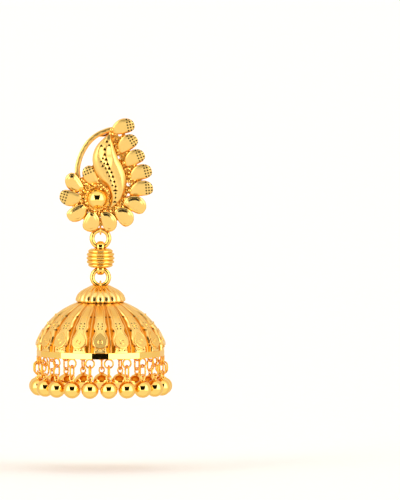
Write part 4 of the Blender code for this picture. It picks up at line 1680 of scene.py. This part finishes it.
@dataclass
class Fringe:
    """The jump rings and the balls that hang round the rim."""

    dome: BellDome
    link_middle: float = 0.61 * MM
    link_wire: float = 0.28 * MM
    link_top: float = -30.745 * MM
    link_bottom: float = -32.605 * MM
    eye_middle: float = 0.40 * MM
    eye_wire: float = 0.26 * MM
    eye_stretch: float = 0.14 * MM
    eye_top: float = -32.265 * MM
    collar_middle: float = 0.34 * MM
    collar_wire: float = 0.16 * MM
    collar_sink: float = 0.03 * MM
    ball_radius: float = 1.4 * MM
    ball_z: float = -34.615 * MM

    def build(self) -> None:
        """Make each jump ring and each ball."""
        for drop in range(self.dome.drops):
            number = f"{drop + 1:02d}"
            link = self.dome.at_drop(self.link(), drop)
            put_in_scene(link, f"jump_ring_{number}", LINKED, Body.BELL, [f"drop_link_{number}"])
            ball_shape = self.dome.at_drop(self.drop_ball(), drop)
            put_in_scene(ball_shape, f"fringe_ball_{number}", MIRROR, Body.BELL, [f"drop_ball_{number}"])

    def link(self) -> Shape:
        """A jump ring, taller than wide.

        Returns:
            The ring, in the plane that faces sideways.
        """
        stretch = self.link_top - self.link_bottom - 2 * self.link_middle
        ring = wire_ring(self.link_middle, self.link_wire, 32, 10, stretch=stretch)
        middle = (self.link_top + self.link_bottom) / 2
        return moved(ring, (0.0, 0.0, middle), QUARTER_Z)

    def drop_ball(self) -> Shape:
        """A ball with its eye and the little collar that the eye is soldered in.

        Returns:
            The three in one shape.
        """
        eye = wire_ring(self.eye_middle, self.eye_wire, 24, 10, stretch=self.eye_stretch)
        moved(eye, (0.0, 0.0, self.eye_top - self.eye_middle - self.eye_stretch / 2))
        collar = wire_ring(self.collar_middle, self.collar_wire, 24, 8)
        top = self.ball_z + self.ball_radius
        moved(collar, (0.0, 0.0, top - self.collar_sink), QUARTER_X)
        return joined([moved(ball(self.ball_radius), (0.0, 0.0, self.ball_z)), eye, collar])


@dataclass
class Studio:
    """The light tent, the pale floor and the camera."""

    # The photograph's frame and where the stud's origin stands in it
    frame_width: int = 400
    frame_height: int = 500
    origin_px: tuple[float, float] = (100.5, 170.0)
    pixel: float = 0.16 * MM
    elevation: float = math.radians(3.5)
    distance: float = 3.0
    sensor: float = 36.0
    floor_drop: float = 12.0 * MM
    floor_size: float = 4.0
    floor_ahead: float = 0.2
    white: str = "FFFFFF"
    warm: str = "FFF0D8"
    paper: str = "FBFAF8"
    paper_roughness: float = 0.9
    fibre_scale: float = 900.0
    seen_level: float = 1.1
    view_depth: float = 20.0
    floor_level: float = 1.1
    tent_level: float = 3.4
    top_level: float = 1.25
    back_level: float = 0.95
    gap_level: float = 0.01

    def build(self) -> None:
        """Make the light, the floor and the camera."""
        scene = bpy.context.scene
        scene.view_settings.view_transform = "Standard"
        self.tent()
        self.floor()
        self.camera()

    def tent(self) -> None:
        """A white tent with a dark gap in front, where the photographer stands, and a warm back.

        The gap is what polished gold shows as a dark spot. The camera itself sees plain white.
        """
        world = bpy.data.worlds.new("light_tent")
        bpy.context.scene.world = world
        world.use_nodes = True
        tree = world.node_tree
        away = add_node(tree, "TexCoord").outputs["Generated"]
        axes = add_node(tree, "SeparateXYZ", {}, in_0=away).outputs
        front = add_node(tree, "Math", {"operation": "MULTIPLY", 1: -1.0}, in_0=axes[1]).outputs[0]
        # The angle away from the front, in radians
        angle = add_node(tree, "Math", {"operation": "ARCTAN2"}, in_0=axes[0], in_1=front).outputs[0]
        aside = add_node(tree, "Math", {"operation": "ABSOLUTE"}, in_0=angle).outputs[0]
        up = axes[2]
        tent = self.between(tree, up, (-0.26, self.floor_level), (-0.05, self.tent_level))
        crown = self.between(tree, up, (0.45, self.tent_level), (0.88, self.top_level))
        back = self.between(tree, aside, (1.10, self.tent_level), (1.50, self.back_level))
        # The gap widens a little upwards
        half = self.between(tree, up, (0.00, 0.45), (0.30, 0.54))
        across = add_node(tree, "Math", {"operation": "ABSOLUTE"}, in_0=axes[0]).outputs[0]
        inside = add_node(tree, "Math", {"operation": "SUBTRACT"}, in_0=half, in_1=across).outputs[0]
        beside = self.between(tree, inside, (-0.03, 0.0), (0.02, 1.0))
        above = self.between(tree, up, (-0.14, 0.0), (-0.12, 1.0))
        below = self.between(tree, up, (0.66, 1.0), (0.80, 0.0))
        ahead = self.between(tree, front, (0.0, 0.0), (0.05, 1.0))
        gap = beside
        for edge in (above, below, ahead):
            gap = add_node(tree, "Math", {"operation": "MULTIPLY"}, in_0=gap, in_1=edge).outputs[0]
        lit = tent
        for edge in (crown, back):
            lit = add_node(tree, "Math", {"operation": "MINIMUM"}, in_0=lit, in_1=edge).outputs[0]
        level = add_node(tree, "Mix", {3: self.gap_level}, in_0=gap, in_2=lit).outputs[0]
        warmth = self.between(tree, aside, (1.5, 0.0), (2.4, 1.0))
        tones = {"data_type": "RGBA", 6: linear(self.white), 7: linear(self.warm)}
        colour = add_node(tree, "Mix", tones, in_0=warmth).outputs[2]
        shown = tree.nodes["Background"]
        tree.links.new(colour, shown.inputs["Color"])
        tree.links.new(level, shown.inputs["Strength"])
        plain = add_node(tree, "Background", {"Color": linear(self.white), "Strength": self.seen_level})
        seen = add_node(tree, "LightPath").outputs["Is Camera Ray"]
        either = add_node(tree, "MixShader", {}, in_0=seen, in_1=shown.outputs[0], in_2=plain.outputs[0])
        tree.links.new(either.outputs[0], tree.nodes["World Output"].inputs["Surface"])

    @staticmethod
    def between(tree: Tree, value: Socket, low: Pair, high: Pair) -> Socket:
        """A smooth change of one value with another.

        Args:
            tree: the node tree.
            value: what it follows.
            low: where it starts to change, and what it is up to there.
            high: where it stops changing, and what it is from there.

        Returns:
            The changing value.
        """
        ends = {"interpolation_type": "SMOOTHSTEP", 1: low[0], 2: high[0], 3: low[1], 4: high[1]}
        return add_node(tree, "MapRange", ends, in_0=value).outputs[0]

    def floor(self) -> None:
        """The pale floor under the earring."""
        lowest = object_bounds()[0][2]
        shape = bmesh.new()
        bmesh.ops.create_grid(shape, x_segments=4, y_segments=4, size=self.floor_size / 2)
        behind = self.floor_size / 2 - self.floor_ahead
        bmesh.ops.translate(shape, verts=shape.verts, vec=(0.0, behind, lowest - self.floor_drop))
        floor = as_object(shape, "pale_floor")
        paper = bpy.data.materials.new("matt_paper")
        paper.use_nodes = True
        tree = paper.node_tree
        shader = tree.nodes["Principled BSDF"]
        place = add_node(tree, "TexCoord").outputs["Object"]
        fibre = add_node(tree, "TexNoise", {"Scale": self.fibre_scale}, Vector=place).outputs["Fac"]
        tones = {"data_type": "RGBA", 6: linear(self.white), 7: linear(self.paper)}
        tint = add_node(tree, "Mix", tones, in_0=fibre)
        tree.links.new(tint.outputs[2], shader.inputs["Base Color"])
        shader.inputs["Roughness"].default_value = self.paper_roughness
        floor.data.materials.append(paper)
        floor.visible_glossy = False
        floor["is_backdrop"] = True

    def camera(self) -> None:
        """The camera at the photograph's viewing angle, with a long lens."""
        lens = bpy.data.cameras.new("long_lens")
        lens.sensor_width = self.sensor
        lens.lens = self.sensor * self.distance / (self.pixel * self.frame_height)
        lens.clip_end = self.view_depth
        right = (self.frame_width / 2 - self.origin_px[0]) * self.pixel
        up = (self.origin_px[1] - self.frame_height / 2) * self.pixel
        aim = Vector((right, 0.0, up))
        away = Vector((0.0, -math.cos(self.elevation), math.sin(self.elevation)))
        viewer = bpy.data.objects.new("viewer", lens)
        viewer.location = aim + away * self.distance
        viewer.rotation_euler = away.to_track_quat("Z", "Y").to_euler()
        bpy.context.scene.collection.objects.link(viewer)
        bpy.context.scene.camera = viewer


def main() -> None:
    """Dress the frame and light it."""
    logging.basicConfig(level=logging.INFO, format="%(message)s")
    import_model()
    StudFlower().build()
    EarPost().build()
    HeavyRing("upper_ring_wire", "upper_ring", Body.UPPER_RING, 1.35 * MM, 0.8 * MM, -10.95 * MM).build()
    SpacerBead().build()
    HeavyRing("lower_ring_wire", "lower_ring", Body.LOWER_RING, 1.31 * MM, 0.78 * MM, -17.2 * MM).build()
    bell = BellShape()
    EyePin(bell).build()
    BellCap(bell).build()
    dome = BellDome(bell)
    dome.build()
    Fringe(dome).build()
    Studio().build()


if __name__ == "__main__":
    main()
